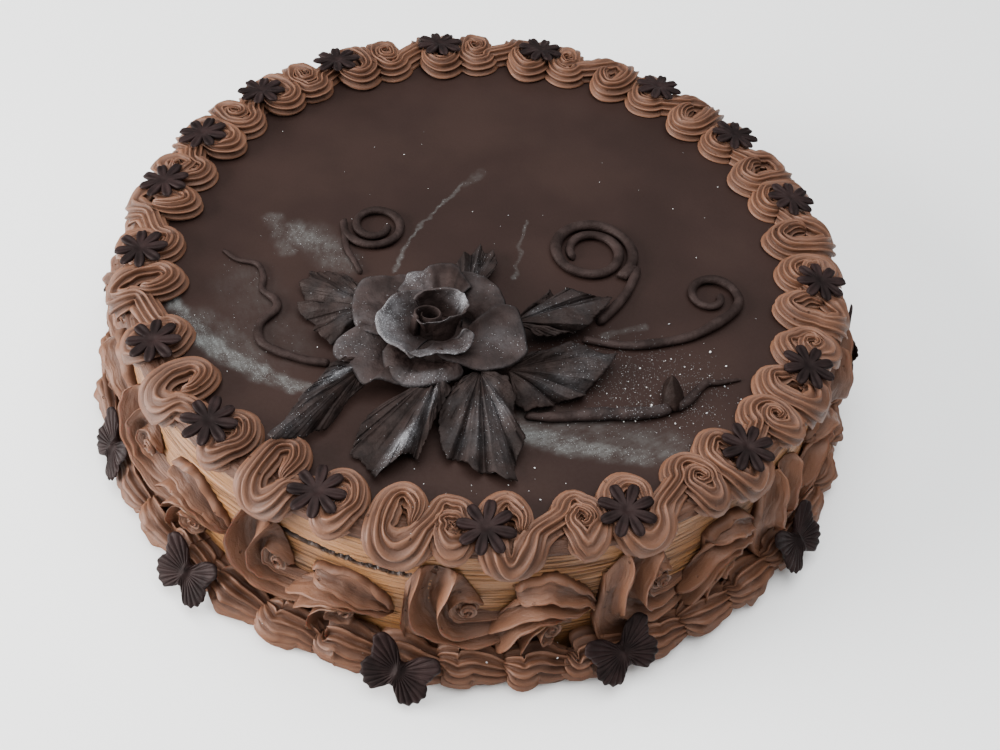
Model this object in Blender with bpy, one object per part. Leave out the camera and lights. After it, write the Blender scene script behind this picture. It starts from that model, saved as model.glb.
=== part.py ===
"""A round chocolate cream cake with piped borders and modelled decorations.

Metres, +Z up.  The origin is the centre of the flat underside and -Y is the front.
A bearing is an angle in degrees round the cake from the front, growing towards +X.
"""
import math

import bmesh
import bpy
import numpy as np

CM = 0.01
MM = 0.001
GAP = 0.3 * MM

# The cake under its cream: a straight side, a soft shoulder and a shallow recess on top.
BASE_R = 13.5 * CM
SIDE_TOP_R = 13.15 * CM
SIDE_TOP_Z = 5.45 * CM
SHOULDER_R = 12.8 * CM
CREAM_TOP_Z = 5.95 * CM
SHEET_R = 11.6 * CM
SHEET_THICK = 2.7 * MM
CAKE_SEGMENTS = 40

# The piped rings are worked out on a fine grid and then thinned to these triangle counts.
WALL_GAP = 0.8 * MM
EDGE_THICK = 1.2 * MM
TOP_TRIANGLES = 2400
SIDE_TRIANGLES = 1700
BASE_TRIANGLES = 1250

# The scroll border round the top: nineteen reversed S strokes of a star tube.
TOP_MID_R = 12.3 * CM
TOP_STROKE_HALF = 5.3 * MM
TOP_STROKE_HIGH = 7.0 * MM
TOP_COLUMNS = 19 * 20
TOP_ROWS = 13
TOP_SCROLLS = (
    (352.7, 2.0), (9.0, 19.4), (27.9, 39.3), (46.5, 57.8), (65.4, 75.5), (84.2, 93.5), (102.2, 112.8),
    (120.5, 131.0), (139.8, 150.0), (158.5, 168.5), (176.5, 187.0), (194.5, 205.0), (212.0, 222.5),
    (229.5, 239.5), (247.0, 257.0), (265.7, 276.5), (286.0, 298.3), (309.5, 322.5), (332.3, 343.0),
)

# The flat scrolls on the side, in pairs: one opens upwards, the next arches over.
SIDE_PAIRS = 13
SIDE_FIRST = 1.5
SIDE_LOW_Z = 1.62 * CM
SIDE_HIGH_Z = 5.25 * CM
SIDE_STROKE_HALF = 4.6 * MM
SIDE_STROKE_HIGH = 9.5 * MM
SIDE_ROWS = 15
SIDE_COLUMNS = 28 * SIDE_PAIRS

# The shells round the foot.
SHELLS = 42
SHELL_FIRST = 0.5
SHELL_OUT = 14.9 * CM
SHELL_HIGH = 1.52 * CM
SHELL_STEPS = 8

# Small eight-petal flowers on the top border, and butterflies on the shells.
FLOWER_BEARINGS = (
    340, 5, 26, 49, 70, 90, 111, 130, 149, 174, 194, 215, 232, 248, 262, 279, 300, 319,
)
FLOWER_R = 12.45 * CM
FLOWER_Z = 6.46 * CM
FLOWER_TILT = 8.0
FLOWER_TIP = 10.0 * MM
FLOWER_NOTCH = 3.6 * MM
FLOWER_THICK = 1.7 * MM
FLOWER_CUP = 1.1 * MM
BUTTERFLY_THICK = 1.6 * MM
# Each as bearing, radius, height, how far its face leans up, and its turn, in degrees and cm.
BUTTERFLIES = (
    (299, 14.40, 1.25, 35, 0), (323, 14.74, 1.05, 45, 0), (355, 14.68, 1.08, 45, -18),
    (24.6, 14.50, 1.30, 45, 16), (57, 14.55, 1.25, 45, 0), (125, 14.74, 1.05, 45, 10),
    (160, 14.74, 1.05, 45, -12), (195, 14.74, 1.05, 45, 0), (230, 14.74, 1.05, 45, 15),
    (262, 14.74, 1.05, 45, -10), (92, 14.30, 3.45, 12, 0),
)

# The rose and its leaves lie on the chocolate sheet, in front of the middle.
ROSE_CENTRE = (-1.2 * CM, -4.75 * CM)
ROSE_STRETCH = (1.04, 0.93)
PETAL_THICK = 1.2 * MM
PETAL_TWIST = 1.1 * MM
LEAF_THICK = 1.3 * MM


def finish(name, colour, roughness):
    """A plain Principled material of one colour."""
    material = bpy.data.materials.new(name)
    material.use_nodes = True
    shader = material.node_tree.nodes["Principled BSDF"]
    shader.inputs["Base Color"].default_value = (*colour, 1.0)
    shader.inputs["Roughness"].default_value = roughness
    return material


def add_solid(name, points, faces, material):
    """Make one closed object of points and faces, with its faces turned outwards."""
    mesh = bpy.data.meshes.new(name)
    mesh.from_pydata([tuple(map(float, p)) for p in points], [], faces)
    work = bmesh.new()
    work.from_mesh(mesh)
    bmesh.ops.recalc_face_normals(work, faces=work.faces)
    if work.calc_volume(signed=True) < 0:
        bmesh.ops.reverse_faces(work, faces=work.faces)
    work.to_mesh(mesh)
    work.free()
    mesh.materials.append(material)
    mesh.shade_smooth()
    mesh.set_sharp_from_angle(angle=math.radians(40))
    obj = bpy.data.objects.new(name, mesh)
    bpy.context.collection.objects.link(obj)
    return obj


def around(bearing, radius, z):
    """Points at a bearing in degrees, a radius and a height."""
    angle = np.radians(bearing)
    x = radius * np.sin(angle)
    y = -radius * np.cos(angle)
    return np.stack(np.broadcast_arrays(x, y, z), axis=-1)


def side_r(z):
    """Radius of the cake's side at height z."""
    return BASE_R + (SIDE_TOP_R - BASE_R) * z / SIDE_TOP_Z


def turned(name, profile, segments, material, centre=(0.0, 0.0), stretch=(1.0, 1.0)):
    """Turn a profile of (radius, z) that starts and ends on the axis."""
    points = [(centre[0], centre[1], profile[0][1])]
    faces = []
    inner = profile[1:-1]
    for radius, z in inner:
        for step in range(segments):
            angle = 2 * math.pi * step / segments
            x = centre[0] + stretch[0] * radius * math.cos(angle)
            y = centre[1] + stretch[1] * radius * math.sin(angle)
            points.append((x, y, z))
    points.append((centre[0], centre[1], profile[-1][1]))
    last = len(points) - 1
    top_row = 1 + (len(inner) - 1) * segments
    for step in range(segments):
        after = (step + 1) % segments
        faces.append((0, 1 + after, 1 + step))
        faces.append((last, top_row + step, top_row + after))
        for row in range(len(inner) - 1):
            low = 1 + row * segments
            high = low + segments
            faces.append((low + step, low + after, high + after, high + step))
    return add_solid(name, points, faces, material)


def ring(name, sections, material):
    """Join closed cross-sections (one row each) into a ring that closes on itself."""
    count, size, _ = sections.shape
    faces = []
    for row in range(count):
        following = (row + 1) % count
        for spot in range(size):
            beside = (spot + 1) % size
            a = row * size + spot
            b = row * size + beside
            c = following * size + beside
            d = following * size + spot
            faces.append((a, b, c, d))
    return add_solid(name, sections.reshape(-1, 3), faces, material)


def slab(name, upper, lower, material):
    """A sheet between two grids of points that have the same shape and share their rim.

    Each cell is cut from its corner nearest a corner of the grid, so that no triangle has
    all three of its points on the rim.
    """
    rows, columns, _ = upper.shape
    points = list(upper.reshape(-1, 3))
    above = np.arange(rows * columns).reshape(rows, columns)
    below = above.copy()
    for row in range(1, rows - 1):
        for column in range(1, columns - 1):
            below[row, column] = len(points)
            points.append(lower[row, column])
    faces = []
    for row in range(rows - 1):
        for column in range(columns - 1):
            same_half = (2 * row < rows - 1) == (2 * column < columns - 1)
            for grid, turn in ((above, 1), (below, -1)):
                a, b, c, d = (int(v) for v in grid[row:row + 2, column:column + 2].ravel())
                halves = ((a, b, d), (a, d, c)) if same_half else ((a, b, c), (b, d, c))
                faces.extend(half[::turn] for half in halves)
    return add_solid(name, points, faces, material)


def thin_out(obj, triangles):
    """Join the triangles of a finely gridded ring until about this many are left."""
    faces = obj.data.polygons
    now = sum(len(face.vertices) - 2 for face in faces)
    thinner = obj.modifiers.new("thin_out", "DECIMATE")
    thinner.ratio = triangles / now
    thinner.use_collapse_triangulate = True


def smooth_route(points, count):
    """A Catmull-Rom curve through the points, at even steps of its length."""
    points = np.asarray(points, dtype=float)
    ends = np.vstack([2 * points[0] - points[1], points, 2 * points[-1] - points[-2]])
    t = np.linspace(0, 1, 12, endpoint=False)[:, None]
    spans = []
    for a, b, c, d in zip(ends[:-3], ends[1:-2], ends[2:-1], ends[3:]):
        spans.append(0.5 * (2 * b + (c - a) * t + (2 * a - 5 * b + 4 * c - d) * t**2
                            + (3 * b - a - 3 * c + d) * t**3))
    line = np.vstack(spans + [points[-1:]])
    length = np.concatenate([[0], np.cumsum(np.linalg.norm(np.diff(line, axis=0), axis=1))])
    even = np.linspace(0, length[-1], count)
    return np.stack([np.interp(even, length, line[:, axis]) for axis in range(line.shape[1])], axis=1)


def dome(points, line, high, wrap=None):
    """Relative height of a round bead laid along a line of (x, y, half width).

    The bead is high at the line, falls to zero at its half width, and is lower where
    it is narrower.  Where two passes of the line meet, the higher one shows.
    """
    widest = line[:, 2].max()
    height = np.zeros(points.shape[:-1])
    for x, y, half in line:
        across = points[..., 0] - x
        if wrap is not None:
            across = (across + wrap / 2) % wrap - wrap / 2
        near = (across**2 + (points[..., 1] - y) ** 2) / half**2
        np.maximum(height, high * half / widest * np.sqrt(np.clip(1 - near, 0, 1)), out=height)
    return height


def seat_axes(normal):
    """Level and rising directions in the plane of a seat."""
    right = np.cross([0.0, 0.0, 1.0], normal)
    right /= np.linalg.norm(right)
    return right, np.cross(normal, right)


def press(points, seats, wide, tall):
    """Push points that stand above a seat's plane back behind it, within an ellipse."""
    for centre, normal in seats:
        right, up = seat_axes(normal)
        away = points - centre
        above = away @ normal + GAP
        near = (away @ right / wide) ** 2 + (away @ up / tall) ** 2 < 1
        points = points - np.where(near & (above > 0), above, 0)[..., None] * normal
    return points


def flower_seat(bearing):
    """Centre and normal of the underside of the flower at a bearing."""
    tilt = math.radians(FLOWER_TILT)
    outward = around(bearing, 1.0, 0.0)
    normal = outward * math.sin(tilt) + np.array([0, 0, math.cos(tilt)])
    return around(bearing, FLOWER_R, FLOWER_Z), normal


def butterfly_seat(bearing, radius, z, lean):
    """Centre and normal of the back of a butterfly; lean is the normal's angle above level."""
    angle = math.radians(lean)
    outward = around(bearing, 1.0, 0.0)
    normal = outward * math.cos(angle) + np.array([0, 0, math.sin(angle)])
    return around(bearing, radius, z), normal


def cake_body(material):
    """The uncut cake in its coat of cream."""
    recess_z = CREAM_TOP_Z - SHEET_THICK - GAP
    profile = (
        (0, 0), (BASE_R - 2 * MM, 0), (side_r(2 * MM), 2 * MM), (SIDE_TOP_R, SIDE_TOP_Z),
        (13.02 * CM, 5.75 * CM), (SHOULDER_R, CREAM_TOP_Z), (SHEET_R + GAP, CREAM_TOP_Z),
        (SHEET_R + GAP, recess_z), (0, recess_z),
    )
    return turned("cake_body", profile, CAKE_SEGMENTS, material)


def chocolate_sheet(material):
    """The dark sheet that fills the recess in the top."""
    low = CREAM_TOP_Z - SHEET_THICK
    profile = (
        (0, low), (SHEET_R, low), (SHEET_R, CREAM_TOP_Z - MM), (SHEET_R - MM, CREAM_TOP_Z),
        (0, CREAM_TOP_Z),
    )
    return turned("chocolate_sheet", profile, CAKE_SEGMENTS, material)


def scroll_line(span):
    """One reversed S: round a loop, across, and in to the middle of a rosette.

    The first loop turns anticlockwise round (0, 0) as its radius grows; the second
    turns clockwise round (span, 0) as its radius shrinks; a smooth route joins them.
    The third column is the stroke's half width, which dwindles at both ends.
    """
    turn = np.radians(np.linspace(-20, 290, 22))
    radius = np.linspace(5.0, 8.0, turn.size) * MM
    half = np.linspace(0.7, 1.0, turn.size) * TOP_STROKE_HALF
    first = np.stack([radius * np.cos(turn), radius * np.sin(turn), half], axis=1)
    turn = np.radians(np.linspace(175, -520, 40))
    radius = np.linspace(8.2, 0.6, turn.size) * MM
    half = np.linspace(1.0, 0.45, turn.size) * TOP_STROKE_HALF
    second = np.stack([span + radius * np.cos(turn), radius * np.sin(turn), half], axis=1)
    return smooth_route(np.vstack([first, second]), 110)


def top_border(material):
    """The chain of S scrolls that covers the edge of the sheet."""
    lines = []
    for first, last in TOP_SCROLLS:
        span = math.radians((last - first) % 360) * TOP_MID_R
        route = scroll_line(span)
        bearing = first + np.degrees(route[:, 0] / TOP_MID_R)
        lines.append(around(bearing, TOP_MID_R - route[:, 1], route[:, 2]))
    line = np.vstack(lines)
    bearings = np.arange(TOP_COLUMNS) * 360 / TOP_COLUMNS
    radii = np.linspace(10.6 * CM, 13.9 * CM, 67)
    samples = around(bearings[:, None], radii[None, :], 0)
    covered = dome(samples, line, 1.0) > 0
    inner = radii[np.argmax(covered, axis=1)]
    outer = radii[radii.size - 1 - np.argmax(covered[:, ::-1], axis=1)]
    share = np.linspace(0, 1, TOP_ROWS)
    radius = inner[:, None] + (outer - inner)[:, None] * share
    under = CREAM_TOP_Z + GAP - 0.35 * np.clip(radius - SHOULDER_R, 0, None)
    plan = around(bearings[:, None], radius, 0)
    height = np.maximum(dome(plan, line, TOP_STROKE_HIGH), EDGE_THICK)
    surface = around(bearings[:, None], radius, under + height)
    surface = press(surface, [flower_seat(b) for b in FLOWER_BEARINGS], 15 * MM, 15 * MM)
    floor = [
        around(bearings, outer, under[:, -1]),
        around(bearings, SHOULDER_R, CREAM_TOP_Z + GAP),
        around(bearings, inner, under[:, 0]),
    ]
    sections = np.concatenate([surface, np.stack(floor, axis=1)], axis=1)
    thin_out(ring("top_border", sections, material), TOP_TRIANGLES)


def side_lines():
    """Both kinds of side scroll, as (arc length, height, half width) along the side."""
    middle = (SIDE_LOW_Z + SIDE_HIGH_Z) / 2
    pitch = 360 / SIDE_PAIRS
    lines = []
    for pair in range(SIDE_PAIRS):
        start = math.radians(SIDE_FIRST + pair * pitch) * BASE_R
        turn = np.radians(np.linspace(-60, 262, 24))
        radius = np.linspace(3.0, 11.5, turn.size) * MM
        half = np.linspace(0.6, 1.0, turn.size) * SIDE_STROKE_HALF
        cup = np.stack([radius * np.cos(turn), radius * np.sin(turn), half], axis=1)
        tail = np.array([(8, -12.0, 4.2), (16, -9.5, 3.6), (21, -7.0, 2.8)]) * MM
        route = smooth_route(np.vstack([cup, tail]), 60)
        lines.append(route + (start, middle + MM, 0))
        turn = np.radians(np.linspace(300, 62, 20))
        radius = np.linspace(3.5, 11.0, turn.size) * MM
        half = np.linspace(0.6, 1.0, turn.size) * SIDE_STROKE_HALF
        arch = np.stack([radius * np.cos(turn), radius * np.sin(turn), half], axis=1)
        tail = np.array([(11, 8.5, 4.4), (17, 5.0, 3.8), (22, 0.5, 2.8)]) * MM
        route = smooth_route(np.vstack([arch, tail]), 60)
        lines.append(route + (start + math.radians(pitch / 2) * BASE_R, middle + MM, 0))
    return np.vstack(lines)


def side_scrolls(seats, material):
    """The chain of flat scrolls round the side."""
    line = side_lines()
    around_cake = 2 * math.pi * BASE_R
    bearings = SIDE_FIRST + np.arange(SIDE_COLUMNS) * 360 / SIDE_COLUMNS
    arc = np.radians(bearings) * BASE_R
    levels = np.linspace(SIDE_LOW_Z, SIDE_HIGH_Z, 49)
    samples = np.stack(np.broadcast_arrays(arc[:, None], levels[None, :]), axis=-1)
    covered = dome(samples, line, 1.0, around_cake) > 0
    low = levels[np.argmax(covered, axis=1)]
    high = levels[levels.size - 1 - np.argmax(covered[:, ::-1], axis=1)]
    share = np.linspace(0, 1, SIDE_ROWS)
    z = low[:, None] + (high - low)[:, None] * share
    spots = np.stack(np.broadcast_arrays(arc[:, None], z), axis=-1)
    height = np.maximum(dome(spots, line, SIDE_STROKE_HIGH, around_cake), EDGE_THICK)
    surface = around(bearings[:, None], side_r(z) + WALL_GAP + height, z)
    surface = press(surface, seats, 22 * MM, 16 * MM)
    wall = [around(bearings, side_r(level) + WALL_GAP, level) for level in (high, low)]
    sections = np.concatenate([surface, np.stack(wall, axis=1)], axis=1)
    thin_out(ring("side_scrolls", sections, material), SIDE_TRIANGLES)


def base_border(seats, material):
    """Shells lying round the foot: each swells at its head and narrows to its tail."""
    place = np.arange(SHELLS * SHELL_STEPS) / SHELL_STEPS
    bearings = SHELL_FIRST + place * 360 / SHELLS
    along = place % 1
    swell = 0.62 + 0.38 * np.sin(np.pi * np.clip(along / 0.42, 0, 1) ** 0.7 / 2)
    swell -= 0.34 * np.clip((along - 0.42) / 0.58, 0, 1) ** 1.5
    out = (SHELL_OUT - BASE_R) * swell
    high = SHELL_HIGH * (0.45 + 0.55 * swell)
    points = []
    for climb in np.radians((0, 12, 34, 58, 80)):
        radius = BASE_R + out * math.cos(climb) ** 0.8
        points.append(around(bearings, radius, high * math.sin(climb)))
    points.append(around(bearings, side_r(high) + WALL_GAP, high))
    points.append(around(bearings, BASE_R + WALL_GAP, 0))
    sections = press(np.stack(points, axis=1), seats, 22 * MM, 18 * MM)
    thin_out(ring("base_border", sections, material), BASE_TRIANGLES)


def lens(name, outline, back, front, material):
    """A flat piece that is thick at its middle and thin at its outline."""
    count = len(outline)
    faces = []
    for spot in range(count):
        beside = (spot + 1) % count
        faces.append((beside, spot, count))
        faces.append((spot, beside, count + 1))
    return add_solid(name, outline + [back, front], faces, material)


def flower(name, bearing, spin, material):
    """A cut-out flower of eight petals with a low raised middle."""
    centre, normal = flower_seat(bearing)
    right, up = seat_axes(normal)
    outline = []
    for petal in range(8):
        middle = 45.0 * petal + spin
        for turn, radius in ((-22.5, FLOWER_NOTCH), (-11, 0.95 * FLOWER_TIP), (11, 0.95 * FLOWER_TIP)):
            angle = math.radians(middle + turn)
            lift = FLOWER_CUP * (1 + 0.6 * radius / FLOWER_TIP) * normal
            outline.append(centre + lift + radius * (math.cos(angle) * right + math.sin(angle) * up))
    return lens(name, outline, centre, centre + FLOWER_THICK * 1.5 * normal, material)


def butterfly(name, seat, turn, material):
    """A cut-out butterfly: two upper and two scalloped lower wings, bent up from its body."""
    centre, normal = seat
    level, rising = seat_axes(normal)
    right = math.cos(math.radians(turn)) * level + math.sin(math.radians(turn)) * rising
    up = np.cross(normal, right)
    half = (
        (0, 4.5), (3, 4.5), (9.5, 11), (14, 11.5), (15, 7), (11.5, 1), (12.5, -3), (10.5, -7.5),
        (6.5, -10.5), (3, -8), (0, -6),
    )
    left = [(-x, y) for x, y in reversed(half[1:-1])]
    outline = [(x * MM, y * MM) for x, y in half + tuple(left)]
    points = [centre + x * right + y * up + (0.2 * abs(x) + 0.6 * MM) * normal for x, y in outline]
    return lens(name, points, centre, centre + BUTTERFLY_THICK * 1.7 * normal, material)


def petal(name, azimuth, half_angle, profile, material):
    """A rose petal: a bent sheet swept round the rose's axis.

    The profile is a quadratic curve in (radius, z).  One side lies a little further
    out than the other, so that each petal passes over its neighbour.
    """
    side = np.linspace(-1, 1, 6)[:, None]
    along = np.linspace(0, 1, 5)[None, :] * (1 - 0.2 * side**4)
    start, bend, end = (np.array(p) for p in profile)
    t = along[..., None]
    place = (1 - t) ** 2 * start + 2 * t * (1 - t) * bend + t**2 * end
    slope = 2 * (1 - t) * (bend - start) + 2 * t * (end - bend)
    slope /= np.linalg.norm(slope, axis=-1, keepdims=True)
    outward = np.stack([slope[..., 1], -slope[..., 0]], axis=-1)
    angle = np.radians(azimuth + side * half_angle * (0.75 + 0.25 * along))
    faces = []
    for shift in (0, 1):
        offset = PETAL_TWIST * side + (shift - 0.5) * PETAL_THICK
        spot = place + offset[..., None] * outward
        x = ROSE_CENTRE[0] + ROSE_STRETCH[0] * spot[..., 0] * np.cos(angle)
        y = ROSE_CENTRE[1] + ROSE_STRETCH[1] * spot[..., 0] * np.sin(angle)
        faces.append(np.stack([x, y, spot[..., 1]], axis=-1))
    return slab(name, faces[0], faces[1], material)


def rose(material):
    """A rolled bud on a low core, with three layers of petals round it."""
    core = (
        (0, 5.98), (1.55, 5.98), (1.6, 6.25), (1.2, 6.4), (0.8, 6.6), (0.78, 7.4), (0.66, 8.05),
        (0.42, 8.2), (0.25, 7.75), (0, 7.65),
    )
    profile = [(radius * CM, z * CM) for radius, z in core]
    turned("rose_bud", profile, 14, material, ROSE_CENTRE, ROSE_STRETCH)
    layers = (
        ("inner", (66, 246), 98, ((1.02, 6.75), (1.04, 7.6), (1.18, 8.2))),
        ("cup", (200, 312, 74), 69, ((1.42, 6.65), (1.45, 7.6), (2.0, 7.9))),
        ("outer", (350, 53, 134, 212, 275), 42, ((1.8, 6.45), (2.2, 7.35), (3.05, 7.0))),
    )
    for layer, azimuths, half_angle, curve in layers:
        profile = [(radius * CM, z * CM) for radius, z in curve]
        for number, azimuth in enumerate(azimuths, 1):
            petal(f"rose_{layer}_petal_{number}", azimuth, half_angle, profile, material)


def leaf(name, base, tip, half_width, heights, material):
    """A leaf with toothed edges, creased along its rib and arched along its length."""
    base = np.array(base) * CM
    tip = np.array(tip) * CM
    share = np.linspace(0, 1, 8)
    teeth = np.where(np.arange(8) % 2 == 1, 1.0, 0.84)
    width = half_width * CM * np.clip(np.sin(np.pi * share**0.8), 0.08, 1) ** 0.8 * teeth
    direction = (tip - base) / np.linalg.norm(tip - base)
    across = np.array([-direction[1], direction[0]])
    arch = np.polyfit((0, 0.5, 1), np.array(heights) * CM, 2)
    side = np.array([-1.0, 0.0, 1.0])
    plan = base + share[:, None, None] * (tip - base) + (side * width[:, None])[..., None] * across
    z = np.polyval(arch, share)[:, None] - np.array([0.0, 1.0, 0.0]) * MM
    upper = np.concatenate([plan, z[..., None]], axis=-1)
    lower = upper - np.array([0, 0, LEAF_THICK])
    return slab(name, upper, lower, material)


def leaves(material):
    """Seven leaves that spread from under the rose."""
    places = (
        ("leaf_back_left", (-3.3, -3.6), (-6.6, -2.0), 1.5, (6.45, 6.55, 6.3)),
        ("leaf_front_left", (-3.35, -6.1), (-6.2, -9.75), 0.95, (6.45, 6.6, 6.9)),
        ("leaf_front", (-1.55, -6.75), (-2.5, -10.75), 1.32, (6.5, 6.65, 6.25)),
        ("leaf_front_right", (0.3, -6.6), (1.55, -10.4), 1.3, (6.5, 6.65, 6.3)),
        ("leaf_right", (1.4, -6.0), (5.1, -4.5), 1.2, (6.65, 6.75, 6.6)),
        ("leaf_back_right", (1.2, -3.4), (4.7, -1.65), 0.95, (6.65, 6.75, 6.6)),
        ("leaf_back", (-0.65, -2.6), (-0.3, 0.3), 0.5, (6.45, 6.5, 6.3)),
    )
    for name, base, tip, half_width, heights in places:
        leaf(name, base, tip, half_width, heights, material)


def tube(name, route, radii, material, sides=5):
    """A round strip along a flat route, lying on the sheet, with pointed ends."""
    route = np.asarray(route)
    radii = np.asarray(radii)
    ahead = np.gradient(route, axis=0)
    ahead /= np.linalg.norm(ahead, axis=1, keepdims=True)
    beside = np.stack([-ahead[:, 1], ahead[:, 0]], axis=1)
    rest = CREAM_TOP_Z + GAP
    points = []
    for place, normal, radius in zip(route, beside, radii):
        for step in range(sides):
            angle = 2 * math.pi * (step + 0.25) / sides
            x, y = place + radius * math.cos(angle) * normal
            points.append((x, y, rest + radius * (math.cos(math.pi / sides) + math.sin(angle))))
    count = len(route)
    start, end = len(points), len(points) + 1
    points.append((*(route[0] - radii[0] * ahead[0]), rest + radii[0]))
    points.append((*(route[-1] + radii[-1] * ahead[-1]), rest + radii[-1]))
    faces = []
    for step in range(sides):
        after = (step + 1) % sides
        faces.append((start, after, step))
        last = (count - 1) * sides
        faces.append((end, last + step, last + after))
        for row in range(count - 1):
            low = row * sides
            faces.append((low + step, low + after, low + sides + after, low + sides + step))
    return add_solid(name, points, faces, material)


def coil(centre, start, turns, inner, outer):
    """A flat spiral in cm that grows from its inner end: angles fall, so it turns clockwise."""
    share = np.linspace(0, 1, max(4, round(12 * turns)))
    angle = np.radians(start - 360 * turns * share)
    radius = inner + (outer - inner) * share
    return np.stack([centre[0] + radius * np.cos(angle), centre[1] + radius * np.sin(angle)], axis=1)


def tendrils(material):
    """Rolled strips with curled ends, and a small bud on the lower right one."""
    small_tail = ((-5.15, -0.2), (-4.75, -0.9), (-4.4, -1.5))
    small = np.vstack([coil((-4.25, 1.05), 15, 1.55, 0.45, 1.2), small_tail])
    large_tail = ((5.65, 0.1), (5.4, -1.0), (4.95, -1.9), (4.35, -2.8))
    large = np.vstack([coil((3.95, 0.8), 215, 1.72, 0.75, 1.65), large_tail])
    right_tail = ((9.1, -1.75), (7.9, -2.85), (6.6, -3.45), (5.3, -3.75), (4.4, -3.75))
    right = np.vstack([coil((8.45, -0.85), 30, 1.12, 0.3, 1.05), right_tail])
    left = (
        (-9.6, -1.0), (-9.0, -1.45), (-8.2, -1.6), (-7.85, -2.2), (-7.75, -2.85), (-7.2, -3.3),
        (-7.1, -3.75), (-7.5, -4.5), (-7.35, -5.3), (-6.7, -5.7), (-5.7, -5.95), (-4.8, -6.0),
    )
    branch = ((2.3, -7.3), (3.3, -7.2), (4.7, -6.85), (5.6, -6.65), (6.35, -6.6))
    tip = ((7.75, -6.0), (7.95, -5.35), (8.4, -4.8), (8.95, -4.95), (9.45, -4.65))
    shapes = (
        ("tendril_small", small, 22, 0.16, 0.16, 0.10),
        ("tendril_large", large, 28, 0.18, 0.20, 0.18),
        ("tendril_right", right, 24, 0.17, 0.19, 0.17),
        ("tendril_left", left, 20, 0.10, 0.16, 0.16),
        ("tendril_branch", branch, 6, 0.16, 0.26, 0.20),
        ("tendril_tip", tip, 7, 0.16, 0.14, 0.08),
    )
    for name, route, count, start, middle, end in shapes:
        line = smooth_route(route, count) * CM
        radii = np.interp(np.linspace(0, 1, count), (0, 0.5, 1), (start, middle, end)) * CM
        tube(name, line, radii, material)
    bud = ((0, 5.98), (0.34, 5.98), (0.46, 6.2), (0.36, 6.5), (0.12, 6.8), (0, 6.9))
    profile = [(radius * CM, z * CM) for radius, z in bud]
    turned("tendril_bud", profile, 8, material, (7.02 * CM, -6.0 * CM), (0.85, 1.45))


def build():
    """Make every sub-part of the cake."""
    cream = finish("cream_coat", (0.34, 0.19, 0.09), 0.55)
    piped = finish("piped_cream", (0.23, 0.10, 0.06), 0.5)
    sheet = finish("chocolate_sheet", (0.035, 0.022, 0.018), 0.45)
    dark = finish("dark_fondant", (0.02, 0.013, 0.012), 0.5)
    moulded = finish("moulded_chocolate", (0.03, 0.022, 0.02), 0.4)
    cake_body(cream)
    chocolate_sheet(sheet)
    top_border(piped)
    seats = [butterfly_seat(b, radius * CM, z * CM, lean) for b, radius, z, lean, _ in BUTTERFLIES]
    side_scrolls(seats, piped)
    base_border(seats, piped)
    for number, bearing in enumerate(FLOWER_BEARINGS, 1):
        flower(f"flower_{number:02d}", bearing, 17.0 * number, dark)
    for number, (seat, place) in enumerate(zip(seats, BUTTERFLIES), 1):
        butterfly(f"butterfly_{number:02d}", seat, place[4], dark)
    rose(moulded)
    leaves(moulded)
    tendrils(moulded)


for old in list(bpy.data.objects):
    bpy.data.objects.remove(old)
build()
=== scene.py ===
import math

import bpy
import numpy as np
from mathutils import Matrix, Vector


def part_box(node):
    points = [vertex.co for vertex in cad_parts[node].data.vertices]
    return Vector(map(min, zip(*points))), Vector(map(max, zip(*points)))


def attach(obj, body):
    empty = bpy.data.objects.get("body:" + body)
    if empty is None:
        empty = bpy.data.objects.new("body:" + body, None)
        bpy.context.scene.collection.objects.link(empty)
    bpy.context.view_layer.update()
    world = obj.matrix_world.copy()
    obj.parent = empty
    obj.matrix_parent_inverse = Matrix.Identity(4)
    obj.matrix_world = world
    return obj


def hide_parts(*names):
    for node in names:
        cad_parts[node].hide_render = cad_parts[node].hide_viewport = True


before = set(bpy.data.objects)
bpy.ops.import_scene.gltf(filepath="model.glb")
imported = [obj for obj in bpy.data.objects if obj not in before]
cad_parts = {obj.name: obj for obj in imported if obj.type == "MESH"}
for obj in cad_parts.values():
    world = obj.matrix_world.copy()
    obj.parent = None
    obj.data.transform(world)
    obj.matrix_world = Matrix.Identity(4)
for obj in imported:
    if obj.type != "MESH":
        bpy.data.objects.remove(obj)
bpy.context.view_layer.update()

chance = np.random.default_rng(20)


# ---- Camera, light and floor ------------------------------------------------------------------
# A camera that looks down on the front of the cake at 49 degrees and leans 6 degrees to one side.
# Window light comes from the left and a little from the front, and a pale table lies below.
CAMERA_PLACE = (0.01033, -0.35766, 0.40996)
CAMERA_DOWN = math.radians(49.3)
CAMERA_ROLL = math.radians(5.98)
CAMERA_LENS = 48.14
WINDOW = ((-1.16, -0.36, 0.46), 0.8, 48.0, (1.0, 0.99, 0.975))
ROOM = ((0.05, 0.0, 1.35), 1.5, 36.0, (0.98, 0.99, 1.0))
SKY = 0.58
TABLE_COLOUR = (0.955, 0.96, 0.955)

ahead = Vector((0, math.cos(CAMERA_DOWN), -math.sin(CAMERA_DOWN)))
rise = Vector((0, math.sin(CAMERA_DOWN), math.cos(CAMERA_DOWN)))
beside = Vector((1, 0, 0))
camera_x = beside * math.cos(CAMERA_ROLL) + rise * math.sin(CAMERA_ROLL)
camera_y = rise * math.cos(CAMERA_ROLL) - beside * math.sin(CAMERA_ROLL)
camera = bpy.data.objects.new("camera", bpy.data.cameras.new("camera"))
camera_turn = Matrix((camera_x, camera_y, -ahead)).transposed().to_4x4()
camera.matrix_world = Matrix.Translation(CAMERA_PLACE) @ camera_turn
camera.data.sensor_width = 36
camera.data.lens = CAMERA_LENS
camera.data.clip_start = 0.01
bpy.context.scene.collection.objects.link(camera)
bpy.context.scene.camera = camera

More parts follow.
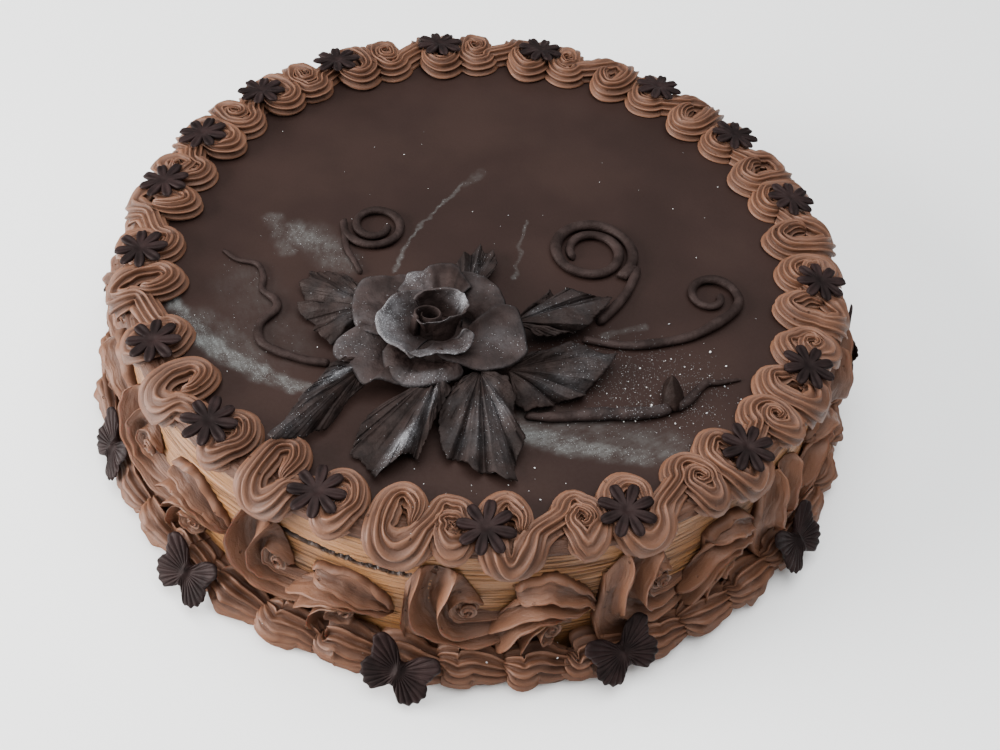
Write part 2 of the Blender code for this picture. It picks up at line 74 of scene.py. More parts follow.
for lamp_name, (place, size, watts, tint) in (("window", WINDOW), ("room", ROOM)):
    lamp = bpy.data.lights.new(lamp_name, "AREA")
    lamp.size = size
    lamp.energy = watts
    lamp.color = tint
    lamp_object = bpy.data.objects.new(lamp_name, lamp)
    lamp_object.location = place
    lamp_object.rotation_euler = (-Vector(place)).to_track_quat("-Z", "Y").to_euler()
    bpy.context.scene.collection.objects.link(lamp_object)

world = bpy.data.worlds.new("room")
world.use_nodes = True
world.node_tree.nodes["Background"].inputs["Color"].default_value = (0.98, 0.99, 1.0, 1.0)
world.node_tree.nodes["Background"].inputs["Strength"].default_value = SKY
bpy.context.scene.world = world


def blank(name, **sockets):
    """A material of one Principled shader with these sockets set; returns it and its shader."""
    made = bpy.data.materials.new(name)
    made.use_nodes = True
    shader = made.node_tree.nodes["Principled BSDF"]
    for socket, value in sockets.items():
        shader.inputs[socket.replace("_", " ")].default_value = value
    return made, shader


def node(tree, kind, sockets=None, **settings):
    """Add a node.  A socket's value is a plain value, or another node's output to link."""
    made = tree.nodes.new(kind)
    for setting, value in settings.items():
        setattr(made, setting, value)
    for socket, value in (sockets or {}).items():
        if isinstance(value, bpy.types.NodeSocket):
            tree.links.new(value, made.inputs[socket])
        else:
            made.inputs[socket].default_value = value
    return made


def span(tree, value, low, high, to_low=0.0, to_high=1.0):
    """A value mapped smoothly from low..high to to_low..to_high and held beyond them."""
    sockets = {"Value": value, "From Min": low, "From Max": high, "To Min": to_low, "To Max": to_high}
    return node(tree, "ShaderNodeMapRange", sockets, interpolation_type="SMOOTHSTEP").outputs[0]


def blend_colours(tree, share, first, second, way="MIX"):
    """Two colours mixed by a share."""
    made = node(tree, "ShaderNodeMix", data_type="RGBA", blend_type=way)
    for socket, value in ((0, share), (6, first), (7, second)):
        if isinstance(value, bpy.types.NodeSocket):
            tree.links.new(value, made.inputs[socket])
        else:
            made.inputs[socket].default_value = value if socket == 0 or len(value) == 4 else (*value, 1)
    return made.outputs[2]


def noise(tree, scale, detail=2.0, stretch=(1, 1, 1), source=None):
    """Noise of so many blobs to the metre on the piece's own coordinates."""
    where = source or node(tree, "ShaderNodeTexCoord").outputs["Object"]
    where = node(tree, "ShaderNodeMapping", {"Vector": where, "Scale": stretch}).outputs[0]
    return node(tree, "ShaderNodeTexNoise",
                {"Vector": where, "Scale": scale, "Detail": detail}).outputs["Fac"]


def wire(tree, shader, **outputs):
    """Link outputs to the shader's sockets."""
    for socket, output in outputs.items():
        tree.links.new(output, shader.inputs[socket.replace("_", " ")])


table, table_shader = blank("table", Roughness=0.6)
cloud = noise(table.node_tree, 4.0)
table_tone = span(table.node_tree, cloud, 0.3, 0.7)
table_tints = [tuple(c * k for c in TABLE_COLOUR) for k in (0.985, 1.0)]
wire(table.node_tree, table_shader, Base_Color=blend_colours(table.node_tree, table_tone, *table_tints))
bpy.ops.mesh.primitive_plane_add(size=12, location=(0, 0, 0))
floor = bpy.context.object
floor.name = "table"
floor.data.materials.append(table)


# ---- Coat of cream ----------------------------------------------------------------------------
# The cake's side is spread with coffee-coloured buttercream and drawn round with a toothed scraper,
# which leaves level lines.  Its shoulder is smooth, and it has cracked a little at the front left.
CM = 0.01
MM = 0.001
SIDE_FOOT_R = 13.5 * CM
SIDE_LEAN = 0.35 / 5.45
COAT_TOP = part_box("cake_body")[1].z
SHOULDER_R = 12.72 * CM
SHOULDER_BEND = 4.6 * MM
COAT_INNER_R = 12.42 * CM
COAT_COLUMNS = 900
COMB_PITCH = 2.4 * MM
COMB_DEPTH = 0.55 * MM
CRACK_FROM, CRACK_TO = 333.0, 357.0
COAT_TINTS = ((0.082, 0.032, 0.010), (0.240, 0.108, 0.038))


def maths(tree, operation, *values):
    """The output of a Math node."""
    made = node(tree, "ShaderNodeMath", dict(enumerate(values)), operation=operation)
    return made.outputs[0]


def mask(tree, name):
    """The number that a piece's mesh holds at each point under a name."""
    return node(tree, "ShaderNodeAttribute", attribute_name=name).outputs["Fac"]


def bump(tree, shader, height, distance, strength=1.0):
    """Raise the shader's surface by a height, given as a share of a distance in metres."""
    sockets = {"Height": height, "Distance": distance, "Strength": strength}
    tree.links.new(node(tree, "ShaderNodeBump", sockets).outputs[0], shader.inputs["Normal"])


def side_r(z):
    """Radius of the coat's side at height z: it leans in as it rises."""
    return SIDE_FOOT_R - SIDE_LEAN * z


def around(bearing, radius, z):
    """Points at a bearing in degrees, a radius and a height."""
    angle = np.radians(bearing)
    return np.stack(np.broadcast_arrays(radius * np.sin(angle), -radius * np.cos(angle), z), axis=-1)


def waves(place, count, low, high, seed):
    """A smooth uneven line: a sum of sines over 0..360 degrees with chance phases, up to about 2."""
    draw = np.random.default_rng(seed)
    beats = draw.integers(low, high, count)
    phases = draw.uniform(0, 2 * np.pi, count)
    sizes = draw.uniform(0.5, 1.0, count)
    place = np.radians(np.asarray(place, dtype=float))[..., None]
    return (sizes * np.sin(beats * place + phases)).sum(-1) / np.sqrt((sizes**2).sum())


def skin(rings, loop=False, closed=True, start=None, end=None):
    """Points and faces of a surface through rings[i, j].

    Neighbouring points of neighbouring rings make four-sided faces.  closed joins a ring's last
    point to its first, loop the last ring to the first, and start and end close the ends with a fan.
    """
    rows, columns, _ = rings.shape
    index = np.arange(rows * columns).reshape(rows, columns)
    if closed:
        index = np.hstack([index, index[:, :1]])
    first, last = index[0], index[-1]
    if loop:
        index = np.vstack([index, index[:1]])
    quads = np.stack([index[:-1, :-1], index[:-1, 1:], index[1:, 1:], index[1:, :-1]], axis=-1)
    points = rings.reshape(-1, 3)
    fans = []
    for tip, edge, turn in ((start, first, 1), (end, last, -1)):
        if tip is not None:
            apex = np.full(edge.size - 1, len(points))
            points = np.vstack([points, np.reshape(tip, (1, 3))])
            fans.append(np.stack([apex, *(edge[1:], edge[:-1])[::turn]], axis=-1))
    return points, quads.reshape(-1, 4), np.vstack(fans) if fans else np.zeros((0, 3), int)


def piece(name, shapes, material, slot, nodes=(), **values):
    """One object of several shapes, its faces pointing out, dressed and fixed to the cake.

    values are numbers at the points, in the shapes' order, which the material reads by name.
    """
    points, sizes, corners, total = [], [], [], 0
    for shape_points, quads, fans in shapes:
        a, b, c, d = (shape_points[quads[:, i]] for i in range(4))
        volume = (np.cross(a, b) * c).sum() + (np.cross(a, c) * d).sum()
        if len(fans):
            a, b, c = (shape_points[fans[:, i]] for i in range(3))
            volume += (np.cross(a, b) * c).sum()
        turn = 1 if volume > 0 else -1
        points.append(shape_points)
        corners += [(quads[:, ::turn] + total).ravel(), (fans[:, ::turn] + total).ravel()]
        sizes += [np.full(len(quads), 4), np.full(len(fans), 3)]
        total += len(shape_points)
    corners, sizes = np.concatenate(corners), np.concatenate(sizes)
    mesh = bpy.data.meshes.new(name)
    mesh.vertices.add(total)
    mesh.vertices.foreach_set("co", np.vstack(points).astype(np.float32).ravel())
    mesh.loops.add(len(corners))
    mesh.loops.foreach_set("vertex_index", corners.astype(np.int32))
    mesh.polygons.add(len(sizes))
    mesh.polygons.foreach_set("loop_start", np.concatenate([[0], np.cumsum(sizes)[:-1]]).astype(np.int32))
    mesh.update(calc_edges=True)
    mesh.shade_smooth()
    for key, numbers in values.items():
        given = mesh.attributes.new(key, "FLOAT", "POINT").data
        given.foreach_set("value", np.asarray(numbers, np.float32).ravel())
    mesh.materials.append(material)
    made = bpy.data.objects.new(name, mesh)
    bpy.context.scene.collection.objects.link(made)
    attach(made, "root")
    if nodes:
        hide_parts(*nodes)
    return made


def coat_grain():
    """Node group: the fine look of whipped cream, as a tone from dark to light and a height.

    Tone is broad noise with some fine noise; Height is fine noise less the small burst bubbles,
    which are the middles of a few scattered cells.
    """
    group = bpy.data.node_groups.new("cream_grain", "ShaderNodeTree")
    group.interface.new_socket("Vector", in_out="INPUT", socket_type="NodeSocketVector")
    for socket, value in (("Grains", 1400.0), ("Bubbles", 320.0), ("Share", 0.06)):
        group.interface.new_socket(socket, in_out="INPUT",
                                   socket_type="NodeSocketFloat").default_value = value
    for socket in ("Tone", "Height"):
        group.interface.new_socket(socket, in_out="OUTPUT", socket_type="NodeSocketFloat")
    given = group.nodes.new("NodeGroupInput").outputs
    broad = node(group, "ShaderNodeTexNoise",
                 {"Vector": given["Vector"], "Scale": 55.0, "Detail": 4.0}).outputs[0]
    fine = node(group, "ShaderNodeTexNoise", {"Vector": given["Vector"], "Scale": given["Grains"]}).outputs[0]
    cells = node(group, "ShaderNodeTexVoronoi", {"Vector": given["Vector"], "Scale": given["Bubbles"]})
    draw = node(group, "ShaderNodeSeparateColor", {"Color": cells.outputs["Color"]}).outputs[0]
    chosen = maths(group, "LESS_THAN", draw, given["Share"])
    pit = maths(group, "MULTIPLY", span(group, cells.outputs["Distance"], 0.30, 0.16), chosen)
    tone = maths(group, "ADD", maths(group, "MULTIPLY", broad, 0.8), maths(group, "MULTIPLY", fine, 0.2))
    # Tone drops in the bubbles' pits as their height does: painted shade in the hollows.
    tone = maths(group, "SUBTRACT", tone, maths(group, "MULTIPLY", pit, 0.3))
    height = maths(group, "SUBTRACT", maths(group, "MULTIPLY", fine, 0.35),
                   maths(group, "MULTIPLY", pit, 1.0))
    out = group.nodes.new("NodeGroupOutput").inputs
    group.links.new(tone, out["Tone"])
    group.links.new(height, out["Height"])
    return group


cream_grain = coat_grain()


def grained(tree, **sockets):
    """The cream's tone and height on the piece's own coordinates."""
    where = node(tree, "ShaderNodeTexCoord").outputs["Object"]
    made = node(tree, "ShaderNodeGroup", node_tree=cream_grain)
    tree.links.new(where, made.inputs["Vector"])
    for socket, value in sockets.items():
        made.inputs[socket].default_value = value
    return made.outputs["Tone"], made.outputs["Height"]


def coat_profile():
    """(radius, z) down the coat: across the top's edge, round the shoulder, and down the side.

    The rings lie closest together where the crack is, and wide apart low down.
    """
    turn = math.radians(86)
    angle = np.linspace(0, turn, 11)
    side_top = COAT_TOP - SHOULDER_BEND * (1 - math.cos(turn))
    side_z = np.concatenate([
        np.linspace(side_top, 4.45 * CM, 38)[1:], np.linspace(4.45 * CM, 1.6 * CM, 44)[1:],
        np.linspace(1.6 * CM, 0, 11)[1:],
    ])
    radius = np.concatenate([[COAT_INNER_R, COAT_INNER_R], SHOULDER_R + SHOULDER_BEND * np.sin(angle),
                             side_r(side_z)])
    z = np.concatenate([[COAT_TOP - 4 * MM, COAT_TOP], COAT_TOP - SHOULDER_BEND * (1 - np.cos(angle)),
                        side_z])
    return radius, z


def crack_line(bearing):
    """Height of the crack at a bearing: a jagged line that falls a little towards the front."""
    share = (bearing - CRACK_FROM) / (CRACK_TO - CRACK_FROM)
    jag = 0.035 * waves(bearing, 6, 60, 160, 3) + 0.04 * waves(bearing, 6, 180, 330, 4)
    return (4.70 - 0.10 * share + jag) * CM


def crack_depth(bearing, z):
    """How open the crack is at a place, from 0 to 1."""
    middle = np.clip((bearing - CRACK_FROM) * (CRACK_TO - bearing) / 50, 0, 1)
    open_here = middle * np.clip(0.9 + 0.3 * waves(bearing, 4, 60, 140, 6), 0.6, 1)
    return open_here * np.exp(-(((z - crack_line(bearing)) / (0.95 * MM * np.maximum(open_here, 0.2))) ** 4))


def coat_relief(bearing, z):
    """How far the scraper's lines, the crack and the unevenness stand out, in metres.

    The lines are bell-shaped grooves at even heights that wander a little and fade in places; the crack
    is a narrow jagged groove; the unevenness is long low waves.
    """
    wander = 0.5 * MM * waves(bearing, 5, 2, 9, 1)
    line = 1 - 2 * np.exp(-((((z + wander) / COMB_PITCH) % 1 - 0.5) / 0.16) ** 2)
    second = np.cos(2 * np.pi * (z + 1.7 * wander) / (0.43 * COMB_PITCH))
    strength = 0.55 + 0.3 * waves(bearing + 900 * z, 5, 3, 14, 2)
    on_side = np.clip((COAT_TOP - 5 * MM - z) / (4 * MM), 0, 1)
    relief = COMB_DEPTH * on_side * strength * (0.7 * line + 0.35 * second)
    relief += 0.45 * MM * waves(bearing + 200 * z, 5, 3, 12, 5)
    return relief - 2.2 * MM * crack_depth(bearing, z)


bearing = np.linspace(0, 360, COAT_COLUMNS, endpoint=False)
bearing = (bearing - 14 * np.sin(np.radians(bearing + 25)) + 340) % 360
coat_r, coat_z = coat_profile()
relief = coat_relief(bearing[None, :], coat_z[:, None])
relief[coat_z < 1 * MM] = 0
coat = around(bearing[None, :], coat_r[:, None] + relief - 0.3 * MM, coat_z[:, None])
coat_material, coat_shader = blank("coat_cream", Specular_IOR_Level=0.35, Subsurface_Weight=0.08,
                                   Subsurface_Scale=0.004)
tree = coat_material.node_tree
tone, height = grained(tree, Share=0.10)
level = noise(tree, 260.0, 3.0, (0.12, 0.12, 3.2))
hair = span(tree, noise(tree, 420.0, 5.0, (0.07, 0.07, 4.0)), 0.34, 0.47)
# level and hair lighten the tone just where they raise the surface, so their low streaks and hairlines are
# painted darker: painted shade in the fine grooves.
tone = maths(tree, "ADD", maths(tree, "MULTIPLY", tone, 0.55), maths(tree, "MULTIPLY", level, 0.35))
tone = maths(tree, "ADD", tone, maths(tree, "MULTIPLY", hair, 0.20))
# lift lightens the tone on raised relief and darkens it in the scraper's grooves and the crack: painted light
# and shade that follow the relief.
tone = maths(tree, "ADD", tone, mask(tree, "lift"))
colour = blend_colours(tree, span(tree, tone, 0.36, 0.80), *COAT_TINTS)
# Near-black where the crack opens: painted shade inside the gap.
colour = blend_colours(tree, mask(tree, "crack"), colour, (0.012, 0.005, 0.003))
wire(tree, coat_shader, Base_Color=colour, Roughness=span(tree, tone, 0.3, 0.8, 0.58, 0.44))
height = maths(tree, "ADD", height,
               maths(tree, "ADD", maths(tree, "MULTIPLY", level, 1.0), maths(tree, "MULTIPLY", hair, 1.2)))
bump(tree, coat_shader, height, 0.40 * MM)
shape = skin(coat, start=(0, 0, COAT_TOP - 5 * MM), end=(0, 0, 0))
# The relief turned into a tone for the material: painted light on the ridges, painted shade in the grooves
# and the crack.
lift = np.concatenate([np.clip(relief / MM, -1.2, 0.6).ravel() * 0.22, [0, 0]])
# How dark the crack is painted, carried half a millimetre below its line: painted shade in the gap and on its
# lower edge.
dark = [np.sqrt(crack_depth(bearing[None, :], coat_z[:, None] + down)) for down in (0, 0.5 * MM)]
crack = np.concatenate([np.maximum(*dark).ravel(), [0, 0]])
piece("cream_coat", [shape], coat_material, "cream_coat", ["cake_body"], lift=lift, crack=crack)


# ---- Piped scrolls round the top --------------------------------------------------------------
# Nineteen S strokes of chocolate buttercream from an open star tube.  Each starts with a tall loop,
# crosses, and winds in to the middle of a rosette, and the next one starts over its edge.
RING_R = 12.3 * CM
STAR_RIDGES = 7
# Each stroke as the bearings of its loop and of its rosette.
SCROLLS = (
    (352.7, 0.4), (8.6, 19.4), (27.9, 39.3), (46.5, 57.8), (65.4, 75.5), (84.2, 93.5), (102.2, 112.8),
    (120.5, 131.0), (139.8, 150.0), (158.5, 168.5), (176.5, 187.0), (194.5, 205.0), (212.0, 222.5),
    (229.5, 239.5), (247.0, 257.0), (265.7, 276.5), (286.0, 298.3), (309.5, 322.5), (332.3, 343.0),
)
DAISY_BEARINGS = (
    340, 5, 26, 49, 70, 90, 111, 130, 149, 174, 194, 215, 232, 248, 262, 279, 300, 319,
)
DAISY_R = 12.45 * CM
DAISY_Z = 6.46 * CM
DAISY_TILT = math.radians(8)
PIPED_TINTS = ((0.045, 0.0168, 0.0080), (0.155, 0.0700, 0.0390))


def spread(points, count):
    """A Catmull-Rom curve through rows of numbers, read at count even steps of the row number."""
    points = np.asarray(points, dtype=float)
    ends = np.vstack([2 * points[0] - points[1], points, 2 * points[-1] - points[-2]])
    place = np.linspace(0, len(points) - 1, count)
    first = np.minimum(place.astype(int), len(points) - 2)
    t = (place - first)[:, None]
    a, b, c, d = (ends[first + i] for i in range(4))
    return 0.5 * (2 * b + (c - a) * t + (2 * a - 5 * b + 4 * c - d) * t**2 + (3 * b - a - 3 * c + d) * t**3)


def flow(points, count):
    """The same curve read at even steps of its length in the first two numbers."""
    line = spread(points, 24 * len(points))
    length = np.concatenate([[0], np.cumsum(np.linalg.norm(np.diff(line[:, :2], axis=0), axis=1))])
    even = np.linspace(0, length[-1], count)
    return np.stack([np.interp(even, length, line[:, axis]) for axis in range(line.shape[1])], axis=1)


def piped(route, place, ridges, depth, sharp, across=38, skew=0.0, rough=0.12, seed=0):
    """A stroke from a star tube along route rows of (u, v, half width, height, lift).

    A section is half a flat-bottomed oval whose rim is notched ridges times: its radius is 1 less
    depth times |sin| to the power sharp of the angle round it, so that a low power gives thin lips
    with hollow valleys; skew moves each valley towards the lip on its right (or left if below 0).
    A section's inner side is held within the route's bend, so that tight curls stay clean.
    place(u, v, h) puts the points on the cake.  Returns the shape and its marks.
    """
    u, v, half, high, rise = route.T
    du, dv = np.gradient(u), np.gradient(v)
    step = np.hypot(du, dv)
    tangent = np.stack([du, dv], axis=1) / step[:, None]
    turn = np.gradient(np.unwrap(np.arctan2(dv, du))) / step
    turn = np.convolve(np.pad(turn, 3, mode="edge"), np.ones(7) / 7, mode="valid")
    room = 0.9 / np.maximum(np.abs(turn), 1e-6)
    inside = (half**-4.0 + room**-4.0) ** -0.25
    run = np.cumsum(step)
    ends = np.minimum(run - run[0] + 0.15 * MM, run[-1] - run + 0.15 * MM) / half
    taper = np.sqrt(np.clip(1 - (1 - np.clip(ends, 0, 1)) ** 2, 0, 1))
    draw = np.random.default_rng(seed)
    angle = np.linspace(0, np.pi, across - 5)
    phase = ridges * angle / np.pi
    part = phase - np.floor(phase + 1e-9)
    part = part ** (1 - skew) if skew >= 0 else 1 - (1 - part) ** (1 + skew)
    groove = np.abs(np.sin(np.pi * part)) ** sharp
    lip = np.round(phase).astype(int)
    sway = draw.normal(0, 1, (ridges + 1, 9))
    knots = np.linspace(0, len(u) - 1, 9)
    sway = np.stack([np.interp(np.arange(len(u)), knots, row) for row in sway])[lip].T
    radius = 1 - depth * groove * (1 + rough * sway) + 0.2 * rough * sway
    side = -np.cos(angle) * radius
    reach = np.where(side > 0, np.where(turn > 0, inside, half)[:, None],
                     np.where(turn < 0, inside, half)[:, None])
    offset = side * reach * taper[:, None]
    top = np.sin(angle) * radius * (high * taper)[:, None] + rise[:, None]
    under = np.linspace(1, -1, 7)[1:-1] * 0.8
    left, right = offset[:, :1], offset[:, -1:]
    offset = np.hstack([offset, under * np.abs(left - right) / 2 + (left + right) / 2])
    top = np.hstack([top, np.repeat((rise * 0.0 - 1.2 * MM * taper)[:, None], 5, axis=1)])
    normal = np.stack([-tangent[:, 1], tangent[:, 0]], axis=1)
    rings = place(u[:, None] + offset * normal[:, :1], v[:, None] + offset * normal[:, 1:], top)
    # near, how close each point is to a lip, lightens the cream's tone: painted light on the lips, painted
    # shade in the valleys.
    near = np.hstack([np.tile(1 - groove, (len(u), 1)), np.zeros((len(u), 5))])
    shape = skin(rings, start=rings[0].mean(0), end=rings[-1].mean(0))
    return shape, marks(near, np.linspace(0, 18, across)[None, :], (run / MM + 41.0 * seed)[:, None])


def marks(near, across, along):
    """Rows of (nearness to a lip, mm across, mm along) at the points of a stroke and its two ends."""
    rows = np.stack(np.broadcast_arrays(near, across, along), axis=-1).reshape(-1, 3)
    return np.vstack([rows, rows[:1], rows[-1:]])


def drawn(marked):
    """The same rows as the named numbers that the piped cream's material reads."""
    lip, across, along = np.concatenate(marked).T
    return {"lip": lip, "across": across, "along": along}


def on_top(u, v, height):
    """Points a height above the cake's top, v inwards of the ring, bent down over the shoulder."""
    out = RING_R - v
    bend = SHOULDER_BEND
    angle = np.clip((out - SHOULDER_R) / bend, 0, math.radians(86))
    beyond = np.clip(out - SHOULDER_R - bend * math.radians(86), 0, None)
    radius = np.minimum(out, SHOULDER_R) + (bend + height) * np.sin(angle)
    z = COAT_TOP - bend * (1 - np.cos(angle)) + height * np.cos(angle) - beyond
    return around(np.degrees(u / RING_R), radius, z)


def scroll_route(width, draw):
    """One S as (u, v, half width, height, lift): a tall loop round (0, 0), then over and round
    (width, 0) in a narrowing spiral that climbs as it closes."""
    stretch = draw.uniform(0.95, 1.06)
    loop = [
        (3.4, -2.4, 2.4, 4.6, 3.2), (4.4, 1.8, 3.6, 5.8, 2.8), (3.4, 6.0, 5.2, 6.8, 1.9),
        (-0.4, 8.6, 6.4, 7.2, 1.1), (-4.8, 6.0, 6.4, 7.4, 0.6), (-5.8, 0.2, 6.0, 7.2, 0.4),
        (-4.4, -5.4, 6.3, 7.0, 0.2), (0.2, -8.4, 6.8, 6.6, 0.0), (5.2, -6.4, 6.4, 6.6, 0.1),
        (8.4, -2.0, 5.6, 7.0, 0.3),
    ]
    turn = np.radians(np.linspace(165, -590, 24))
    share = np.linspace(0, 1, turn.size)
    wind = 1 - share**0.8
    spiral = np.stack([
        width / MM + (6.2 * wind + 0.3) * np.cos(turn), (8.8 * wind**1.25 + 0.3) * np.sin(turn) - 1.0 * share,
        (5.6 + 0.8 * np.abs(np.sin(turn))) * (1 - 0.5 * share), 7.0 - 1.8 * share, 0.3 + 3.2 * share**1.3,
    ], axis=1)
    route = np.vstack([loop, spiral])
    route[:, 1] *= stretch
    route[:, :2] += draw.normal(0, 0.3, (len(route), 2))
    return flow(route * MM, 135)


def press(points, seats, reach):
    """Push points that stand above a seat's plane, within reach of its middle, back under it."""
    for centre, up in seats:
        away = points - centre
        above = away @ up + 0.25 * MM
        flat = np.linalg.norm(away - (away @ up)[..., None] * up, axis=-1)
        soft = np.clip((reach - flat) / (0.25 * reach), 0, 1)
        points = points - (np.clip(above, 0, None) * soft)[..., None] * up
    return points


def daisy_seat(bearing):
    """Middle and upward direction of the underside of the daisy at a bearing."""
    up = around(bearing, math.sin(DAISY_TILT), math.cos(DAISY_TILT))
    return around(bearing, DAISY_R, DAISY_Z), up


scrolls, nearness = [], []
daisy_seats = [daisy_seat(b) for b in DAISY_BEARINGS]
for number, (first, last) in enumerate(SCROLLS):
    width = math.radians((last - first) % 360) * RING_R
    route = scroll_route(width, chance)
    route[:, 0] += math.radians(first) * RING_R
    (points, quads, fans), near = piped(route, on_top, STAR_RIDGES, 0.29, 0.8, 54, 0.0, 0.25, number)
    scrolls.append((press(points, daisy_seats, 10.5 * MM), quads, fans))
    nearness.append(near)

bed_u = np.radians(np.linspace(0, 360, 480, endpoint=False)) * RING_R
bed_v = np.linspace(-9, 5, 20) * MM
bed_h = 2.6 * MM * np.sin(np.linspace(0, np.pi, 20)) ** 0.4 - 0.8 * MM
bed_h = bed_h + 0.4 * MM * waves(np.degrees(bed_u / RING_R)[:, None] + 3000 * bed_v, 6, 20, 90, 8)
bed_h[:, [0, -1]] = -1.5 * MM
scrolls.append(skin(on_top(bed_u[:, None], bed_v, bed_h), loop=True))
nearness.append(marks(0.0, bed_v[None, :] / MM, bed_u[:, None] / MM)[:-2])

piped_cream, piped_shader = blank("piped_cream", Specular_IOR_Level=0.30, Subsurface_Weight=0.03,
                                  Subsurface_Scale=0.002)
tree = piped_cream.node_tree
tone, height = grained(tree, Grains=2200.0, Bubbles=420.0, Share=0.05)
stroke = node(tree, "ShaderNodeCombineXYZ",
              {0: mask(tree, "across"), 1: maths(tree, "MULTIPLY", mask(tree, "along"), 0.09)})
streak = span(tree, noise(tree, 0.95, 5.0, source=stroke.outputs[0]), 0.3, 0.7)
# The lips are painted lighter and the valleys between them darker, and the raised drag streaks lighter:
# painted light and shade that follow the relief.
tone = maths(tree, "ADD", maths(tree, "MULTIPLY", tone, 0.60),
             maths(tree, "MULTIPLY", mask(tree, "lip"), 0.32))
tone = maths(tree, "ADD", tone, maths(tree, "MULTIPLY", streak, 0.12))
height = maths(tree, "ADD", height, maths(tree, "MULTIPLY", streak, 0.9))
colour = blend_colours(tree, span(tree, tone, 0.20, 0.76), *PIPED_TINTS)
wire(tree, piped_shader, Base_Color=colour, Roughness=span(tree, tone, 0.3, 0.8, 0.60, 0.46))
bump(tree, piped_shader, height, 0.35 * MM)
for name, part in (("top_scrolls_right", slice(0, 10)), ("top_scrolls_left", slice(10, None))):
    piece(name, scrolls[part], piped_cream, "piped_cream", ["top_border"], **drawn(nearness[part]))
border_points = np.vstack([points for points, _, _ in scrolls[:-1]])


# ---- Chocolate sheet --------------------------------------------------------------------------
# A rolled disc of dark chocolate paste, 24.7 cm across, lies in the top.  It is matt and a little
# uneven, and silver dust has been smeared on it by brush and finger.
SHEET_R = 12.35 * CM
SHEET_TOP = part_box("chocolate_sheet")[1].z
SHEET_TINTS = ((0.0150, 0.0078, 0.0064), (0.0225, 0.0120, 0.0098))
DUST_TINT = (0.125, 0.130, 0.126)
# Each smear from (x, y) to (x, y), and its width, in cm; last how thickly the dust lies.
SMEARS = (
    (-10.8, -3.7, -10.0, -4.7, 0.44, 1.0), (-10.0, -4.7, -9.2, -5.4, 0.56, 1.3),
    (-9.2, -5.4, -8.2, -6.1, 0.56, 1.3), (-8.2, -6.1, -7.1, -6.6, 0.52, 1.15),
    (-7.1, -6.6, -5.8, -7.05, 0.42, 0.85), (-5.8, -7.05, -4.5, -7.15, 0.32, 0.5),
    (-9.6, -4.6, -7.6, -6.0, 0.95, 0.35), (-7.1, 0.4, -6.2, -0.2, 0.75, 0.62),
    (-8.1, 1.0, -7.3, -0.6, 0.5, 0.35), (-6.4, 0.2, -5.2, -1.0, 1.1, 0.30),
    (-3.25, -1.1, -3.0, 0.2, 0.14, 0.65), (-3.0, 0.2, -2.6, 1.3, 0.09, 0.60),
    (-2.6, 1.3, -1.9, 2.8, 0.08, 0.5), (-1.9, 2.8, -1.2, 3.9, 0.12, 0.4),
    (-1.1, 4.0, -0.5, 4.8, 0.30, 0.22), (1.2, -0.9, 1.29, 0.6, 0.12, 0.42),
    (1.29, 0.6, 1.36, 2.3, 0.10, 0.32), (4.7, -3.3, 6.0, -2.6, 0.22, 0.35),
    (1.9, -8.0, 3.3, -8.3, 0.60, 0.9), (3.3, -8.3, 4.7, -8.5, 0.58, 0.8),
    (4.7, -8.5, 6.2, -8.5, 0.52, 0.6), (6.2, -8.5, 7.6, -8.1, 0.45, 0.4),
    (2.4, -7.5, 7.0, -8.0, 1.2, 0.30), (-8.5, -2.5, -6.5, -5.5, 1.6, 0.12),
)


def smear_group():
    """Node group: how thickly dust lies near a straight smear from one point to another.

    With t the nearest spot along the smear, held to 0..1, the distance is the length of
    (Vector - From) - t * Along; the dust is thick within a fifth of Width and gone beyond it.
    """
    group = bpy.data.node_groups.new("smear", "ShaderNodeTree")
    for socket in ("Vector", "From", "Along"):
        group.interface.new_socket(socket, in_out="INPUT", socket_type="NodeSocketVector")
    for socket in ("Width", "Thickness"):
        group.interface.new_socket(socket, in_out="INPUT", socket_type="NodeSocketFloat")
    group.interface.new_socket("Dust", in_out="OUTPUT", socket_type="NodeSocketFloat")
    given = group.nodes.new("NodeGroupInput").outputs

    def vectors(operation, first, second, result="Vector"):
        made = node(group, "ShaderNodeVectorMath", {0: first, 1: second}, operation=operation)
        return made.outputs[result]

    away = vectors("SUBTRACT", given["Vector"], given["From"])
    whole = vectors("DOT_PRODUCT", given["Along"], given["Along"], "Value")
    share = maths(group, "DIVIDE", vectors("DOT_PRODUCT", away, given["Along"], "Value"), whole)
    share = maths(group, "MINIMUM", maths(group, "MAXIMUM", share, 0.0), 1.0)
    nearest = node(group, "ShaderNodeVectorMath", {0: given["Along"], "Scale": share},
                   operation="SCALE").outputs[0]
    far = node(group, "ShaderNodeVectorMath", {0: vectors("SUBTRACT", away, nearest)},
               operation="LENGTH").outputs["Value"]
    dust = span(group, maths(group, "DIVIDE", far, given["Width"]), 1.0, 0.2)
    group.links.new(maths(group, "MULTIPLY", dust, given["Thickness"]),
                    group.nodes.new("NodeGroupOutput").inputs["Dust"])
    return group


